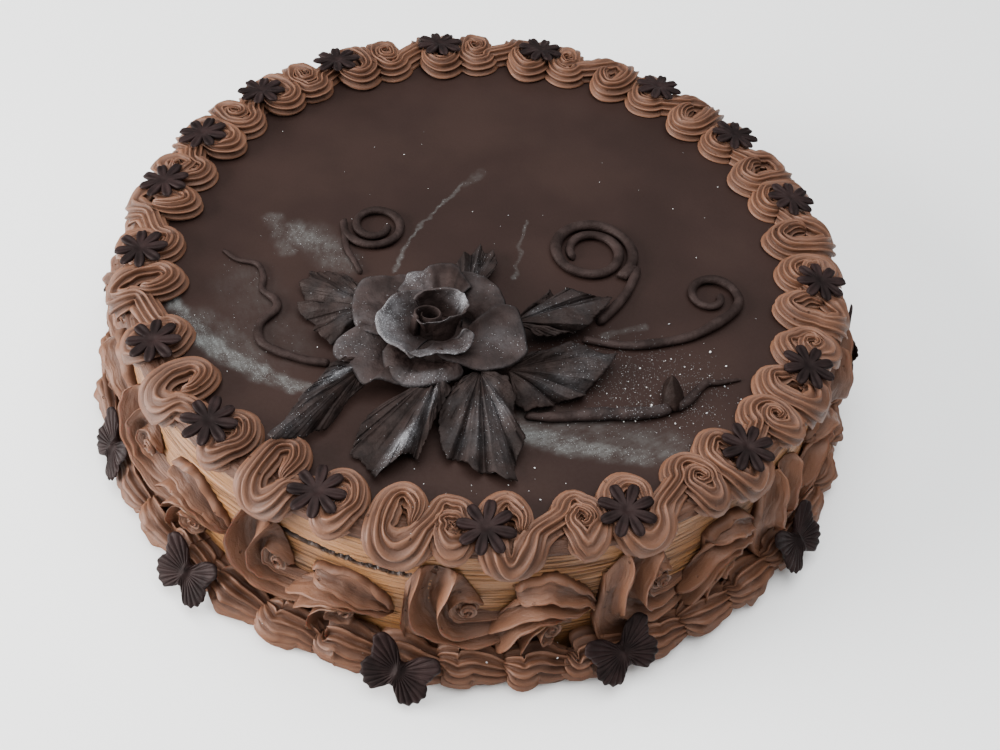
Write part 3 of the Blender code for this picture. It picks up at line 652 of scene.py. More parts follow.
def silver_group():
    """Node group: silver dust of a given thickness, as a share to mix, and its bright specks.

    Share is the thickness broken up by brushed noise; Speck is 1 on a few of the cells of a fine
    honeycomb, and more of them light up where the dust is thick or Glint asks for them.
    """
    group = bpy.data.node_groups.new("silver_dust", "ShaderNodeTree")
    group.interface.new_socket("Vector", in_out="INPUT", socket_type="NodeSocketVector")
    for socket in ("Thickness", "Glint"):
        group.interface.new_socket(socket, in_out="INPUT", socket_type="NodeSocketFloat")
    for socket in ("Share", "Speck"):
        group.interface.new_socket(socket, in_out="OUTPUT", socket_type="NodeSocketFloat")
    given = group.nodes.new("NodeGroupInput").outputs
    brushed = noise(group, 160.0, 6.0, source=given["Vector"])
    fine = noise(group, 1500.0, 2.0, source=given["Vector"])
    grain = maths(group, "ADD", maths(group, "MULTIPLY", brushed, 1.0), maths(group, "MULTIPLY", fine, 0.4))
    share = maths(group, "MULTIPLY", given["Thickness"], span(group, grain, 0.30, 1.08))
    # The specks are the glitter painted as bright glints: partly real glitter, partly painted glint.
    cells = node(group, "ShaderNodeTexVoronoi", {"Vector": given["Vector"], "Scale": 4200.0})
    draw = node(group, "ShaderNodeSeparateColor", {"Color": cells.outputs["Color"]}).outputs[0]
    bright = maths(group, "ADD", given["Thickness"], given["Glint"])
    likely = maths(group, "MULTIPLY", maths(group, "POWER", bright, 1.4), 0.11)
    lit = maths(group, "MULTIPLY", maths(group, "LESS_THAN", draw, likely),
                span(group, cells.outputs["Distance"], 0.42, 0.2))
    out = group.nodes.new("NodeGroupOutput").inputs
    group.links.new(share, out["Share"])
    group.links.new(lit, out["Speck"])
    return group


smear, silver = smear_group(), silver_group()
sheet_material, sheet_shader = blank("chocolate_sheet", Specular_IOR_Level=0.13,
                                     Specular_Tint=(1.0, 0.85, 0.8, 1.0))
tree = sheet_material.node_tree
where = node(tree, "ShaderNodeTexCoord").outputs["Object"]
wavy = node(tree, "ShaderNodeTexNoise", {"Vector": where, "Scale": 170.0, "Detail": 6.0}).outputs["Color"]
shift = node(tree, "ShaderNodeVectorMath", {0: wavy, 1: (0.5, 0.5, 0.5)}, operation="SUBTRACT").outputs[0]
shift = node(tree, "ShaderNodeVectorMath", {0: shift, 1: (0.006, 0.006, 0.0)},
             operation="MULTIPLY").outputs[0]
where_flat = node(tree, "ShaderNodeVectorMath", {0: where, 1: (1, 1, 0)}, operation="MULTIPLY").outputs[0]
spot = node(tree, "ShaderNodeVectorMath", {0: where_flat, 1: shift}, operation="ADD").outputs[0]
dust = None
for x, y, to_x, to_y, wide, thick in SMEARS:
    made = node(tree, "ShaderNodeGroup", node_tree=smear)
    tree.links.new(spot, made.inputs["Vector"])
    made.inputs["From"].default_value = (x * CM, y * CM, 0)
    made.inputs["Along"].default_value = ((to_x - x) * CM, (to_y - y) * CM, 0)
    made.inputs["Width"].default_value = wide * CM
    made.inputs["Thickness"].default_value = thick
    dust = made.outputs[0] if dust is None else maths(tree, "MAXIMUM", dust, made.outputs[0])
# More specks over the front right, where the loose glitter lies: painted glints.
sparkles = node(tree, "ShaderNodeGroup", {"Vector": spot}, node_tree=smear)
sparkles.inputs["From"].default_value = (3.8 * CM, -5.0 * CM, 0)
sparkles.inputs["Along"].default_value = (3.6 * CM, -0.4 * CM, 0)
sparkles.inputs["Width"].default_value = 2.6 * CM
sparkles.inputs["Thickness"].default_value = 0.75
made = node(tree, "ShaderNodeGroup", node_tree=silver)
tree.links.new(where, made.inputs["Vector"])
tree.links.new(dust, made.inputs["Thickness"])
tree.links.new(sparkles.outputs[0], made.inputs["Glint"])
share, speck = made.outputs
apart = node(tree, "ShaderNodeSeparateXYZ", {0: where}).outputs
bearing_now = maths(tree, "ARCTAN2", apart[1], apart[0])
radius_now = node(tree, "ShaderNodeVectorMath", {0: where_flat}, operation="LENGTH").outputs["Value"]
polar = node(tree, "ShaderNodeCombineXYZ",
             {0: maths(tree, "MULTIPLY", radius_now, 5.0), 1: maths(tree, "MULTIPLY", bearing_now, 0.12)})
brushed = span(tree, noise(tree, 130.0, 5.0, source=polar.outputs[0]), 0.36, 0.66, 0.75, 1.35)
share = maths(tree, "MULTIPLY", share, brushed)
tone = span(tree, noise(tree, 22.0, 5.0), 0.3, 0.7)
colour = blend_colours(tree, tone, *SHEET_TINTS)
colour = blend_colours(tree, maths(tree, "MINIMUM", maths(tree, "MULTIPLY", share, 0.72), 1.0), colour,
                       DUST_TINT)
# Bright specks: painted glints of the glitter.
colour = blend_colours(tree, speck, colour, (0.36, 0.38, 0.38))
fine = noise(tree, 900.0, 3.0)
wire(tree, sheet_shader, Base_Color=colour, Roughness=span(tree, fine, 0.3, 0.7, 0.62, 0.50))
bump(tree, sheet_shader, fine, 0.05 * MM)
ring_r = SHEET_R * np.sin(np.linspace(0.012, 1, 70) * np.pi / 2)
bearing = np.linspace(0, 360, 240, endpoint=False)
flat_z = SHEET_TOP - 0.15 * MM + 0.13 * MM * waves(bearing[None, :] + 4000 * ring_r[:, None], 6, 1, 5, 30)
flat_z -= 0.4 * MM * np.clip((ring_r[:, None] - SHEET_R + MM) / MM, 0, 1) ** 2
rings = np.concatenate([around(bearing[None, :], ring_r[:, None], flat_z),
                        around(bearing, SHEET_R, SHEET_TOP - 2.7 * MM)[None]])
shape = skin(rings, start=(0, 0, SHEET_TOP), end=(0, 0, SHEET_TOP - 2.7 * MM))
piece("chocolate_disc", [shape], sheet_material, "chocolate_sheet", ["chocolate_sheet"])


# ---- Piped scrolls round the side -------------------------------------------------------------
# Thirteen pairs of broad strokes from a closed star tube.  One of a pair curls up like a cup with
# its tail running on below; the other curls down like an arch and narrows to a point on the right.
SIDE_PAIRS = 13
CUP_BEARING, ARCH_BEARING = 2.2, 15.3
WALL_R = SIDE_FOOT_R
# A stroke's lips from the outer one in, and last the floor of its eye: each as (u, z, height) in mm
# at nine stations from the head to the tail.  Then how deep each valley between them is and how
# far it leans towards the next lip.
CUP_LIPS = (
    ((-18.2, 45, 2), (-18.6, 37, 3), (-19.2, 30, 3.5), (-19.6, 23, 4), (-17.3, 15, 4), (-12.5, 10, 4),
     (-3.5, 8, 4), (6.4, 9, 3), (18.6, 12, 2)),
    ((-12.2, 55, 3), (-12.8, 52, 6), (-14.2, 46, 8.5), (-14.3, 39, 9.5), (-12.4, 31, 9.5), (-8.0, 25, 8.5),
     (-2.2, 22, 7.5), (5.7, 19, 5.5), (18.0, 19, 3)),
    ((-0.8, 55, 4), (-2.5, 53, 7), (-4.6, 48, 9), (-6.4, 42, 9.5), (-6.1, 35, 9), (-3.8, 30, 8),
     (-0.7, 27, 7), (5.7, 24, 5), (18.0, 24, 2.6)),
    ((8.4, 37, 3), (4.6, 42, 4.4), (0.6, 44, 5.2), (-2.2, 43, 5.8), (-3.0, 39, 6.0), (-2.2, 35, 5.8),
     (0.0, 32, 5.2), (5.4, 29, 3.6), (17.8, 28, 2)),
    ((5.6, 37, 1), (4.0, 39, 1.5), (2.2, 40, 2), (1.0, 39, 2.2), (0.8, 38, 2.2), (1.4, 36.5, 2),
     (3.0, 35, 1.5), (8.0, 32, 0), (18.0, 31, -1)),
)
CUP_VALLEYS = ((0.85, 1.5), (0.95, 1.0), (0.85, 0.8), (0.1, 1.0))
FIN = 1.6
FINE_RIDGE = 0.40
ARCH_LIPS = (
    ((-12.9, 45, 3), (-10.3, 48, 3), (-5.9, 49, 3), (-1.6, 50, 3), (3.8, 48, 3), (7.6, 44, 3),
     (11.5, 40, 3), (13.4, 36, 2.5), (14.8, 31, 2)),
    ((-12.6, 43, 4), (-9.4, 45, 6), (-4.6, 46, 7.5), (-0.7, 45, 8), (2.8, 42, 7.5), (6.8, 39, 6.5),
     (10.6, 36, 5), (12.4, 33.5, 4), (14.8, 30, 2.5)),
    ((-22.2, 22, 4), (-18.0, 30, 7), (-12.4, 37, 8.5), (-6.9, 39.5, 9), (-2.6, 39, 8.5), (1.7, 37.5, 7.5),
     (5.9, 34.5, 6), (10.2, 31.5, 4.5), (14.6, 29, 2.5)),
    ((-19.7, 12, 4), (-16.4, 20, 7), (-12.4, 28, 8), (-7.9, 33, 8.5), (-3.9, 35.5, 8.5), (0.1, 35, 8),
     (3.8, 32.5, 6), (7.0, 29, 4), (14.2, 27.5, 2)),
    ((-5.2, 10, 4), (-8.4, 9.5, 5.5), (-11.2, 13, 7), (-10.8, 19, 7.5), (-8.0, 27, 8), (-4.4, 32, 8),
     (-0.3, 33, 7), (2.8, 30, 5), (6.7, 25, 3)),
    ((2.3, 19, 4), (-0.1, 18.6, 5), (-2.5, 19.6, 6), (-4.9, 22, 7), (-5.2, 26, 7.5), (-3.7, 29.5, 7.5),
     (-0.8, 31, 6.5), (1.6, 29.5, 6), (3.0, 26, 4)),
    ((1.2, 22.5, 2.5), (0.2, 22.2, 3.5), (-0.8, 22.6, 4), (-1.8, 23.6, 4.4), (-2.0, 25, 4.4),
     (-1.4, 26.4, 4.2), (-0.4, 27, 4), (0.6, 26.4, 3.5), (1.2, 25, 2.5)),
)
ARCH_VALLEYS = ((0.55, 1.4), (0.80, 1.6), (0.80, 1.6), (0.90, 1.2), (0.92, 1.0), (0.1, 1.0))


def on_side(u, v, height):
    """Points a height out from the cake's side at an arc length u and a height v above the foot."""
    return around(np.degrees(u / WALL_R), side_r(v) + height, v)


def ruffle(lips, valleys, draw):
    """A broad stroke from a star tube: thin lips that run side by side, with valleys between.

    Along the stroke, s, each lip is a smooth curve through its stations; across it, f from one lip
    to the next, place and height run straight from lip to lip, less the depth times
    |sin(pi f^lean)|^0.65 of the height, plus a bell of height FIN and width 0.65 mm on each lip and
    one to four low ridges of height FINE_RIDGE in each valley.  The height rises at the head and
    dies away at the tail.
    Returns its grid of (u, v, height) in metres, as on_side takes them, and its marks.
    """
    count = 60
    lips = np.stack([spread(lip, count) for lip in np.array(lips, dtype=float)])
    s = np.linspace(0, 1, count)
    beat = draw.uniform(2, 9, (len(lips), 3, 1, 3))
    first = draw.uniform(0, 6.28, (len(lips), 3, 1, 3))
    sway = np.sin(beat * s[:, None] + first)[:, :, :, 0].transpose(0, 2, 1)
    quick, slow = (draw.uniform(0, 6.28, (len(lips), 1)) for _ in range(2))
    ripple = np.sin(23 * s + quick) * np.sin(9 * s + slow)
    lips = lips * (1, 1, 0.9) + sway * (0.65, 0.65, 0.6)
    lips[:, :, 2] += 0.5 * ripple
    size, turn = draw.uniform((0.95, 0.93), (1.04, 1.0)), draw.normal(0, 0.05)
    plan = (lips[..., :2] - (0, 31)) * size
    lips[..., 0] = plan[..., 0] * math.cos(turn) - plan[..., 1] * math.sin(turn)
    lips[..., 1] = plan[..., 0] * math.sin(turn) + plan[..., 1] * math.cos(turn) + 30
    f = (1 - np.cos(np.pi * np.linspace(0, 1, 15)[:-1])) / 2
    rows, near = [], []
    for before, after, (depth, lean) in zip(lips[:-1], lips[1:], valleys):
        dip = np.abs(np.sin(np.pi * f**lean)) ** 0.65
        flat = before[:, None] * (1 - f[:, None]) + after[:, None] * f[:, None]
        low = np.clip(np.minimum(before[:, 2], after[:, 2]), 0, None)[:, None]
        drag = 0.12 * np.sin(37 * f + draw.uniform(0, 6.28)) * np.sin(6 * s + draw.uniform(0, 6.28))[:, None]
        flat[..., 2] += dip * (drag - depth * low)
        apart = np.linalg.norm((after - before)[:, :2], axis=1)[:, None] * np.minimum(f, 1 - f)
        flat[..., 2] += FIN * np.exp(-((apart / 0.65) ** 2)) * np.clip(low / 5, 0, 1)
        count_fine = np.clip(np.round(np.linalg.norm((after - before)[:, :2], axis=1).mean() / 2.4), 1, 4)
        fine = np.cos(2 * np.pi * (count_fine * f + 0.3 * np.sin(4 * s + draw.uniform(0, 6.28))[:, None]))
        flat[..., 2] += FINE_RIDGE * fine * np.sin(np.pi * f) * np.clip(low / 5, 0, 1)
        rows.append(flat)
        # As in piped(), nearness to a lip lightens the tone: painted light on the lips, painted shade in the
        # valleys.
        near.append(np.tile(1 - dip, (count, 1)))
    band = np.concatenate([*rows, lips[-1][:, None]], axis=1)
    head = 1 - np.clip((s + 0.012) / 0.10, 0, 1)
    tail = 1 - np.clip((1.012 - s) / 0.14, 0, 1)
    rise = np.sqrt(1 - head**2) * np.sqrt(1 - tail**2)
    band[..., 2] = band[..., 2] * rise[:, None]
    outer = 2 * band[:, 0] - band[:, 1]
    away = outer - band[:, 0]
    outer = band[:, 0] + 0.9 * away / np.maximum(np.linalg.norm(away[:, :2], axis=1), 0.3)[:, None]
    outer[:, 2] = -1.0
    inner = band[:, -1] * (1, 1, 0) + (0, 0, -1.0)
    band = np.concatenate([outer[:, None], band, inner[:, None]], axis=1) * MM
    near = np.hstack([np.zeros((count, 1)), *near, np.zeros((count, 2))])
    across = np.linspace(0, 5.5 * len(lips), near.shape[1])[None, :]
    return band, marks(near, across, 50 * s[:, None] + draw.uniform(0, 900))


def butterfly_seat(bearing, radius, z, lean):
    """Middle and outward direction of the back of a butterfly whose face leans up by lean degrees."""
    angle = math.radians(lean)
    return around(bearing, radius * CM, z * CM), around(bearing, math.cos(angle), math.sin(angle))


# Each butterfly as bearing, radius, height, how far its face leans up, and its turn, in degrees and cm.
BUTTERFLIES = (
    (299, 14.40, 1.25, 35, 0), (323, 14.74, 1.05, 45, 0), (355, 14.68, 1.08, 45, -18),
    (24.6, 14.50, 1.30, 45, 16), (57, 14.55, 1.25, 45, 0), (125, 14.74, 1.05, 45, 10),
    (160, 14.74, 1.05, 45, -12), (195, 14.74, 1.05, 45, 0), (230, 14.74, 1.05, 45, 15),
    (262, 14.74, 1.05, 45, -10), (90.5, 14.12, 3.35, 12, 6),
)
butterfly_seats = [butterfly_seat(*place[:4]) for place in BUTTERFLIES]
for group_name, first, lips, valleys, eye, way in (
    ("side_cups", CUP_BEARING, CUP_LIPS, CUP_VALLEYS, (2.4, 37.5), 1),
    ("side_arches", ARCH_BEARING, ARCH_LIPS, ARCH_VALLEYS, (-0.6, 24.8), -1),
):
    strokes, nearness = [], []
    for pair in range(SIDE_PAIRS):
        bearing = first + pair * 360 / SIDE_PAIRS + (chance.normal(0, 0.5) if pair else 0)
        band, near = ruffle(lips, valleys, chance)
        place = math.radians(bearing) * WALL_R
        if way < 0 and pair == SIDE_PAIRS - 1:
            band[..., 1] -= 7 * MM * np.clip(band[..., 1] / (25 * MM) - 0.8, 0, 1)
        rings = on_side(band[..., 0] + place, band[..., 1], band[..., 2])
        shape = skin(rings, start=rings[0].mean(0), end=rings[-1].mean(0))
        turn = np.radians(np.linspace(200, 740, 16)) * way
        share = np.linspace(0, 1, 16)
        route = np.stack([
            eye[0] + 2.7 * (1 - share) * np.cos(turn), eye[1] - 1 + 3.2 * (1 - share) * np.sin(turn),
            2.2 - 0.9 * share, 3.2 + 0 * share, 1.8 + 2.0 * share,
        ], axis=1) * MM
        route = flow(route, 36) + (place, 0, 0, 0, 0)
        bud, bud_near = piped(route, on_side, 4, 0.42, 0.8, 26, 0.0, 0.3, 50 + pair)
        for (points, quads, fans), close in ((shape, near), (bud, bud_near)):
            strokes.append((press(points, butterfly_seats, 15 * MM), quads, fans))
            nearness.append(close)
    piece(group_name, strokes, piped_cream, "piped_cream", ["side_scrolls"], **drawn(nearness))


# ---- Shells round the foot --------------------------------------------------------------------
# Forty-two ridged shells from an open star tube, each started over the tail of the one before it.
SHELLS = 42
SHELL_FIRST = 4.2
SHELL_LEAN = math.radians(40)


def on_foot(u, v, height):
    """Points a height out from a slope that leans against the foot of the side, v up the slope."""
    up, out = math.sin(SHELL_LEAN), math.cos(SHELL_LEAN)
    radius = SIDE_FOOT_R + 4.4 * MM - v * up + height * out
    z = 6.6 * MM + v * out + height * up
    return around(np.degrees(u / SIDE_FOOT_R), np.maximum(radius, side_r(z) - 0.5 * MM),
                  np.clip(z, 0.2 * MM, None))


shells, nearness = [], []
for number in range(SHELLS):
    size = chance.uniform(0.92, 1.06)
    route = np.array([
        (-9.5, 1.4, 7.6, 7.4, 1.6), (-7.0, 1.2, 9.2, 9.0, 1.6), (-3.0, 0.8, 9.8, 9.6, 1.0),
        (2.0, 0.2, 9.2, 8.8, 0.3), (7.0, -0.6, 7.8, 7.4, 0.0), (12.0, -1.4, 6.0, 5.8, 0.0),
        (16.0, -1.8, 4.4, 4.2, 0.0),
    ]) * (1, 1, size, size, 1)
    route[:, 1] += chance.normal(0, 0.6, len(route))
    route = flow(route * MM, 40)
    route[:, 0] += math.radians(SHELL_FIRST + number * 360 / SHELLS + chance.normal(0, 0.25)) * SIDE_FOOT_R
    (points, quads, fans), near = piped(route, on_foot, 7, 0.30, 0.7, 48, 0.0, 0.3, 100 + number)
    shells.append((press(points, butterfly_seats, 17 * MM), quads, fans))
    nearness.append(near)
piece("foot_shells", shells, piped_cream, "piped_cream", ["base_border"], **drawn(nearness))
shell_points = np.vstack([points for points, _, _ in shells])


# ---- Daisies ----------------------------------------------------------------------------------
# Eighteen daisies, up to 20 mm across, cut from dark paste up to 1.5 mm thick.  Each has eight petals with a
# crease down the middle and a low hollow in the centre, and its petals bend up a little.
DAISY_TIP = 10.0 * MM
DAISY_NOTCH = 3.5 * MM
FILM_TINT = (0.275, 0.275, 0.290)
FONDANT_TINTS = ((0.0065, 0.0038, 0.0038), (0.0170, 0.0095, 0.0092))


def plane_axes(up):
    """Two directions at right angles in the plane whose upward direction is up, the first level."""
    level = np.cross([0.0, 0.0, 1.0], up)
    level /= np.linalg.norm(level)
    return level, np.cross(up, level)


def daisy(bearing, spin, draw):
    """Rings of a daisy, from the middle of its face out over its edge to the middle of its back.

    With t the angle from a petal's middle as a share of 22.5 degrees, the edge lies at
    notch + (tip - notch) * (1 - |t|^2.6)^0.95; the face is highest some four fifths out, creased at t = 0.
    """
    centre, up = daisy_seat(bearing)
    level, across = plane_axes(up)
    angle = np.radians(np.linspace(0, 360, 176, endpoint=False))
    petal_number = np.round(angle / (np.pi / 4)).astype(int) % 8
    t = (angle / (np.pi / 4) - np.round(angle / (np.pi / 4))) * 2
    tips = DAISY_TIP * draw.uniform(0.93, 1.0, 8)[petal_number]
    edge = DAISY_NOTCH + (tips - DAISY_NOTCH) * (1 - np.abs(t) ** 2.6) ** 0.95
    share = np.concatenate([np.linspace(0.05, 1, 16), [1.0], np.linspace(0.95, 0.05, 6)])[:, None]
    face = np.concatenate([np.ones(16), [0.5], np.zeros(6)])[:, None]
    radius = share * edge
    out = radius / DAISY_TIP
    crease = np.exp(-((t * radius * np.pi / 8 / (0.75 * MM)) ** 2)) * np.clip(out * 2.4 - 0.5, 0, 1)
    thick = 1.2 * MM * np.sqrt(np.clip(1 - share**5, 0, 1)) + 0.3 * MM
    dent = 0.6 * MM * np.exp(-((radius / (1.5 * MM)) ** 2))
    lifts = draw.uniform(0.5, 1.25, 8)[petal_number]
    height = 0.5 * MM + lifts * MM * out**2 + face * (thick - 0.55 * MM * crease - dent)
    angle = angle + math.radians(spin)
    flat = radius[..., None] * (np.cos(angle)[:, None] * level + np.sin(angle)[:, None] * across)
    return centre + flat + height[..., None] * up


def dark_paste(name, tints, gloss, rough):
    """A dark paste, dusted with silver and glittering where the piece's mesh says dust and glint."""
    material, shader = blank(name, Specular_IOR_Level=gloss, Specular_Tint=(1.0, 0.88, 0.84, 1.0))
    tree = material.node_tree
    where = node(tree, "ShaderNodeTexCoord").outputs["Object"]
    made = node(tree, "ShaderNodeGroup", node_tree=silver)
    tree.links.new(where, made.inputs["Vector"])
    tree.links.new(mask(tree, "dust"), made.inputs["Thickness"])
    tree.links.new(mask(tree, "glint"), made.inputs["Glint"])
    share, speck = made.outputs
    blotch = noise(tree, 140.0, 4.0)
    colour = blend_colours(tree, span(tree, blotch, 0.3, 0.7), *tints)
    colour = blend_colours(tree, maths(tree, "MINIMUM", maths(tree, "MULTIPLY", share, 0.62), 1.0), colour,
                           FILM_TINT)
    # Bright specks: painted glints of the glitter.
    colour = blend_colours(tree, speck, colour, (0.56, 0.58, 0.60))
    fine = maths(tree, "ADD", noise(tree, 1600.0, 3.0),
                 maths(tree, "MULTIPLY", noise(tree, 330.0, 6.0), rough))
    fine = maths(tree, "ADD", fine, maths(tree, "MULTIPLY", noise(tree, 850.0, 4.0), 0.4 * rough))
    wire(tree, shader, Base_Color=colour, Roughness=span(tree, blotch, 0.3, 0.7, 0.6, 0.46))
    bump(tree, shader, fine, 0.06 * MM)
    return material


fondant = dark_paste("dark_fondant", FONDANT_TINTS, 0.08, 3.0)
for number, bearing in enumerate(DAISY_BEARINGS, 1):
    rings = daisy(bearing, 17.0 * number, chance)
    shape = skin(rings, start=rings[0].mean(0), end=rings[-1].mean(0))
    piece(f"daisy_{number:02d}", [shape], fondant, "dark_fondant", [f"flower_{number:02d}"],
          dust=np.zeros(len(shape[0])))


# ---- Butterflies ------------------------------------------------------------------------------
# Eleven butterflies, 27 mm across at their widest, pressed from the same dark paste: ten lean on the
# shells and one is stuck high on the right.  Veins fan out over wings with scalloped edges from a
# thin body.

# The edge of the wings as degrees above level and reach in mm, which butterfly() cuts to 0.92 of it.
WING_EDGE = (
    (90, 3.6), (72, 4.4), (58, 11.2), (49, 14.6), (39, 16.2), (30, 15.6), (22, 13.4), (12, 11.9),
    (3, 11.2), (-4, 12.6), (-13, 13.4), (-22, 13.2), (-30, 13.6), (-38, 12.8), (-46, 13.2), (-55, 12.2),
    (-62, 12.0), (-70, 9.0), (-80, 6.4), (-90, 5.6),
)


def butterfly(place, spin):
    """Rings of a butterfly, from the middle of its face out over its edge to the middle of its back.

    The edge's distance is read from WING_EDGE by the angle above level.  The wings rise from the
    body by a fifth of their reach; sine-shaped veins fan out, and the body is a rounded ridge.
    """
    centre, up = butterfly_seat(*place)
    level, across = plane_axes(up)
    angle = np.linspace(-90, 270, 240, endpoint=False)
    steep = np.where(angle <= 90, angle, 180 - angle)
    table_angle, table_reach = np.array(WING_EDGE[::-1], dtype=float).T
    edge = np.interp(steep, table_angle, table_reach)
    edge = np.convolve(np.tile(edge, 3), np.ones(3) / 3, mode="same")[240:480] * 0.92 * MM
    edge *= 1 + 0.014 * np.cos(np.radians(steep * 24))
    share = np.concatenate([np.linspace(0.04, 1, 20), [1.0], np.linspace(0.95, 0.04, 6)])[:, None]
    face = np.concatenate([np.ones(20), [0.4], np.zeros(6)])[:, None]
    radius = share * edge
    x, y = radius * np.cos(np.radians(angle)), radius * np.sin(np.radians(angle))
    vein = 0.5 + 0.5 * np.cos(np.radians(steep) * 30)
    vein = vein**3 * np.clip(share * 3 - 0.4, 0, 1) * np.clip((1.02 - share) * 8, 0, 1)
    split = np.exp(-(((steep + 1) / 7) ** 2)) * np.clip(share * 2 - 0.3, 0, 1)
    bend = 0.2 * np.abs(x) + 0.9 * MM * np.sin(np.radians(steep * 2.2)) * share**2
    body = 1.7 * MM * np.exp(-((x / (1.15 * MM)) ** 2)) * np.exp(-((y / (5.2 * MM)) ** 4))
    thick = 1.2 * MM * np.sqrt(np.clip(1 - share**8, 0, 1)) + 0.3 * MM
    height = 0.5 * MM + bend + face * (thick + body - 0.55 * MM * vein - 0.5 * MM * split)
    turn = math.radians(spin)
    x, y = x * math.cos(turn) - y * math.sin(turn), x * math.sin(turn) + y * math.cos(turn)
    return centre + x[..., None] * level + y[..., None] * across + height[..., None] * up


for number, place in enumerate(BUTTERFLIES, 1):
    rings = butterfly(place[:4], place[4])
    shape = skin(rings, start=rings[0].mean(0), end=rings[-1].mean(0))
    name = f"butterfly_{number:02d}"
    piece(f"winged_{number:02d}", [shape], fondant, "dark_fondant", [name], dust=np.zeros(len(shape[0])))


# ---- Rose -------------------------------------------------------------------------------------
# A rose of dark moulding chocolate, 66 mm across at its widest: a rolled bud, and round it ten petals
# that thin from 1.1 mm at the foot to 0.45 mm near the rim, wrapped over one another and opened
# outwards.  Silver dust veils them unevenly.
ROSE_X, ROSE_Y = -1.2 * CM, -4.75 * CM
MOULDED_TINTS = ((0.0115, 0.0071, 0.0063), (0.0265, 0.0172, 0.0155))
moulded = dark_paste("moulded_chocolate", MOULDED_TINTS, 0.08, 9.0)
PETALS = {
    # base (radius, z) in cm; how far out and up its bend lies between base and rim; lip curl in cm;
    # veil of dust, then a patch of dust as its amount, place across and along, breadth across and along
    "inner_petal_1": ((0.80, 6.8), (0.9, 0.5), 0.06, 0.04, (1.8, -0.30, 0.78, 0.34, 0.30)),
    "inner_petal_2": ((0.50, 6.95), (0.2, 0.5), 0.02, 0.00, (0.15, 0.0, 1.0, 1.0, 0.1)),
    "cup_petal_1": ((0.62, 6.95), (0.60, 0.30), 0.08, 0.20, (1.1, 0.10, 0.85, 0.45, 0.35)),
    "cup_petal_2": ((0.62, 6.95), (0.60, 0.30), 0.08, 0.35, (0.6, -0.4, 0.85, 0.7, 0.4)),
    "cup_petal_3": ((1.20, 6.90), (0.15, 0.90), 0.12, 0.00, (0.5, 0.6, 0.8, 0.3, 0.3)),
    "outer_petal_1": ((1.00, 6.85), (0.30, 1.05), 0.12, 0.03, (0.30, 0.20, 0.62, 0.32, 0.28)),
    "outer_petal_2": ((1.40, 6.85), (0.15, 1.00), 0.10, 0.04, (0.1, 0.0, 0.8, 0.5, 0.5)),
    "outer_petal_3": ((1.50, 6.75), (0.25, 1.15), 0.10, 0.04, (0.15, 0.5, 0.8, 0.4, 0.3)),
    "outer_petal_4": ((1.50, 6.70), (0.30, 1.10), 0.10, 0.02, (0.25, -0.4, 0.8, 0.4, 0.3)),
    "outer_petal_5": ((1.30, 6.65), (0.15, 1.10), 0.30, 0.00, (0.4, 0.25, 0.90, 0.35, 0.12)),
}
RIMS = {
    # azimuth in degrees, radius and z in cm along the rim of each petal
    "inner_petal_1": (
        (9, 0.74, 7.90), (22, 0.93, 8.02), (40, 1.00, 8.08), (57, 1.01, 8.10), (96, 0.98, 8.10),
        (132, 1.05, 8.02), (156, 1.04, 7.92),
    ),
    "inner_petal_2": (
        (190, 0.95, 7.80), (201, 0.95, 7.92), (224, 0.88, 7.90), (246, 0.55, 7.93), (322, 0.42, 7.98),
        (359, 0.77, 8.02), (372, 0.85, 7.95),
    ),
    "cup_petal_1": (
        (118, 1.40, 7.55), (130, 1.50, 7.65), (143, 1.63, 7.75), (160, 1.80, 7.85), (180, 1.93, 7.90),
        (190, 2.12, 7.90), (208, 2.24, 7.90), (221, 2.22, 7.85), (235, 2.03, 7.80), (247, 2.07, 7.75),
        (252, 1.98, 7.70),
    ),
    "cup_petal_2": (
        (243, 1.90, 7.74), (258, 1.89, 7.75), (275, 1.66, 7.75), (298, 1.71, 7.70), (314, 1.66, 7.70),
        (323, 1.50, 7.76), (330, 1.29, 7.85), (328, 1.08, 7.90),
    ),
    "cup_petal_3": (
        (60, 1.85, 7.60), (70, 2.09, 7.65), (77, 2.30, 7.66), (82, 2.58, 7.60), (89, 2.80, 7.50),
        (96, 2.84, 7.48), (104, 2.64, 7.55), (111, 2.50, 7.46), (121, 2.53, 7.50), (129, 2.31, 7.45),
        (140, 2.10, 7.35),
    ),
    "outer_petal_1": (
        (268, 1.20, 7.30), (275, 1.34, 7.30), (299, 1.73, 7.20), (318, 2.39, 7.12), (334, 2.87, 7.10),
        (347, 3.11, 7.18), (355, 2.98, 7.25), (372, 2.80, 7.35), (384, 2.70, 7.40), (392, 2.20, 7.40),
    ),
    "outer_petal_2": (
        (20, 2.15, 7.35), (29, 2.44, 7.42), (38, 2.52, 7.48), (47, 2.61, 7.50), (58, 2.67, 7.50),
        (69, 2.65, 7.50), (77, 2.54, 7.48), (84, 2.30, 7.40),
    ),
    "outer_petal_3": (
        (119, 2.30, 7.35), (125, 2.57, 7.36), (133, 2.90, 7.28), (144, 3.44, 7.18), (154, 3.42, 7.12),
        (165, 3.21, 7.10), (175, 3.01, 7.12), (187, 2.79, 7.15), (194, 2.42, 7.22), (199, 2.00, 7.25),
    ),
    "outer_petal_4": (
        (182, 2.50, 7.10), (187, 2.83, 7.15), (194, 3.42, 7.03), (198, 3.62, 6.95), (204, 3.66, 6.85),
        (214, 3.34, 6.80), (227, 3.32, 6.72), (231, 2.95, 6.88), (238, 2.73, 6.88), (248, 2.57, 6.82),
        (255, 2.20, 6.80),
    ),
    "outer_petal_5": (
        (208, 1.75, 7.20), (213, 2.00, 7.18), (222, 2.20, 7.10), (233, 2.42, 7.02), (244, 2.50, 6.98),
        (253, 2.50, 6.98), (271, 2.24, 7.00), (285, 2.12, 7.02), (295, 2.04, 7.06), (302, 1.80, 7.10),
    ),
}


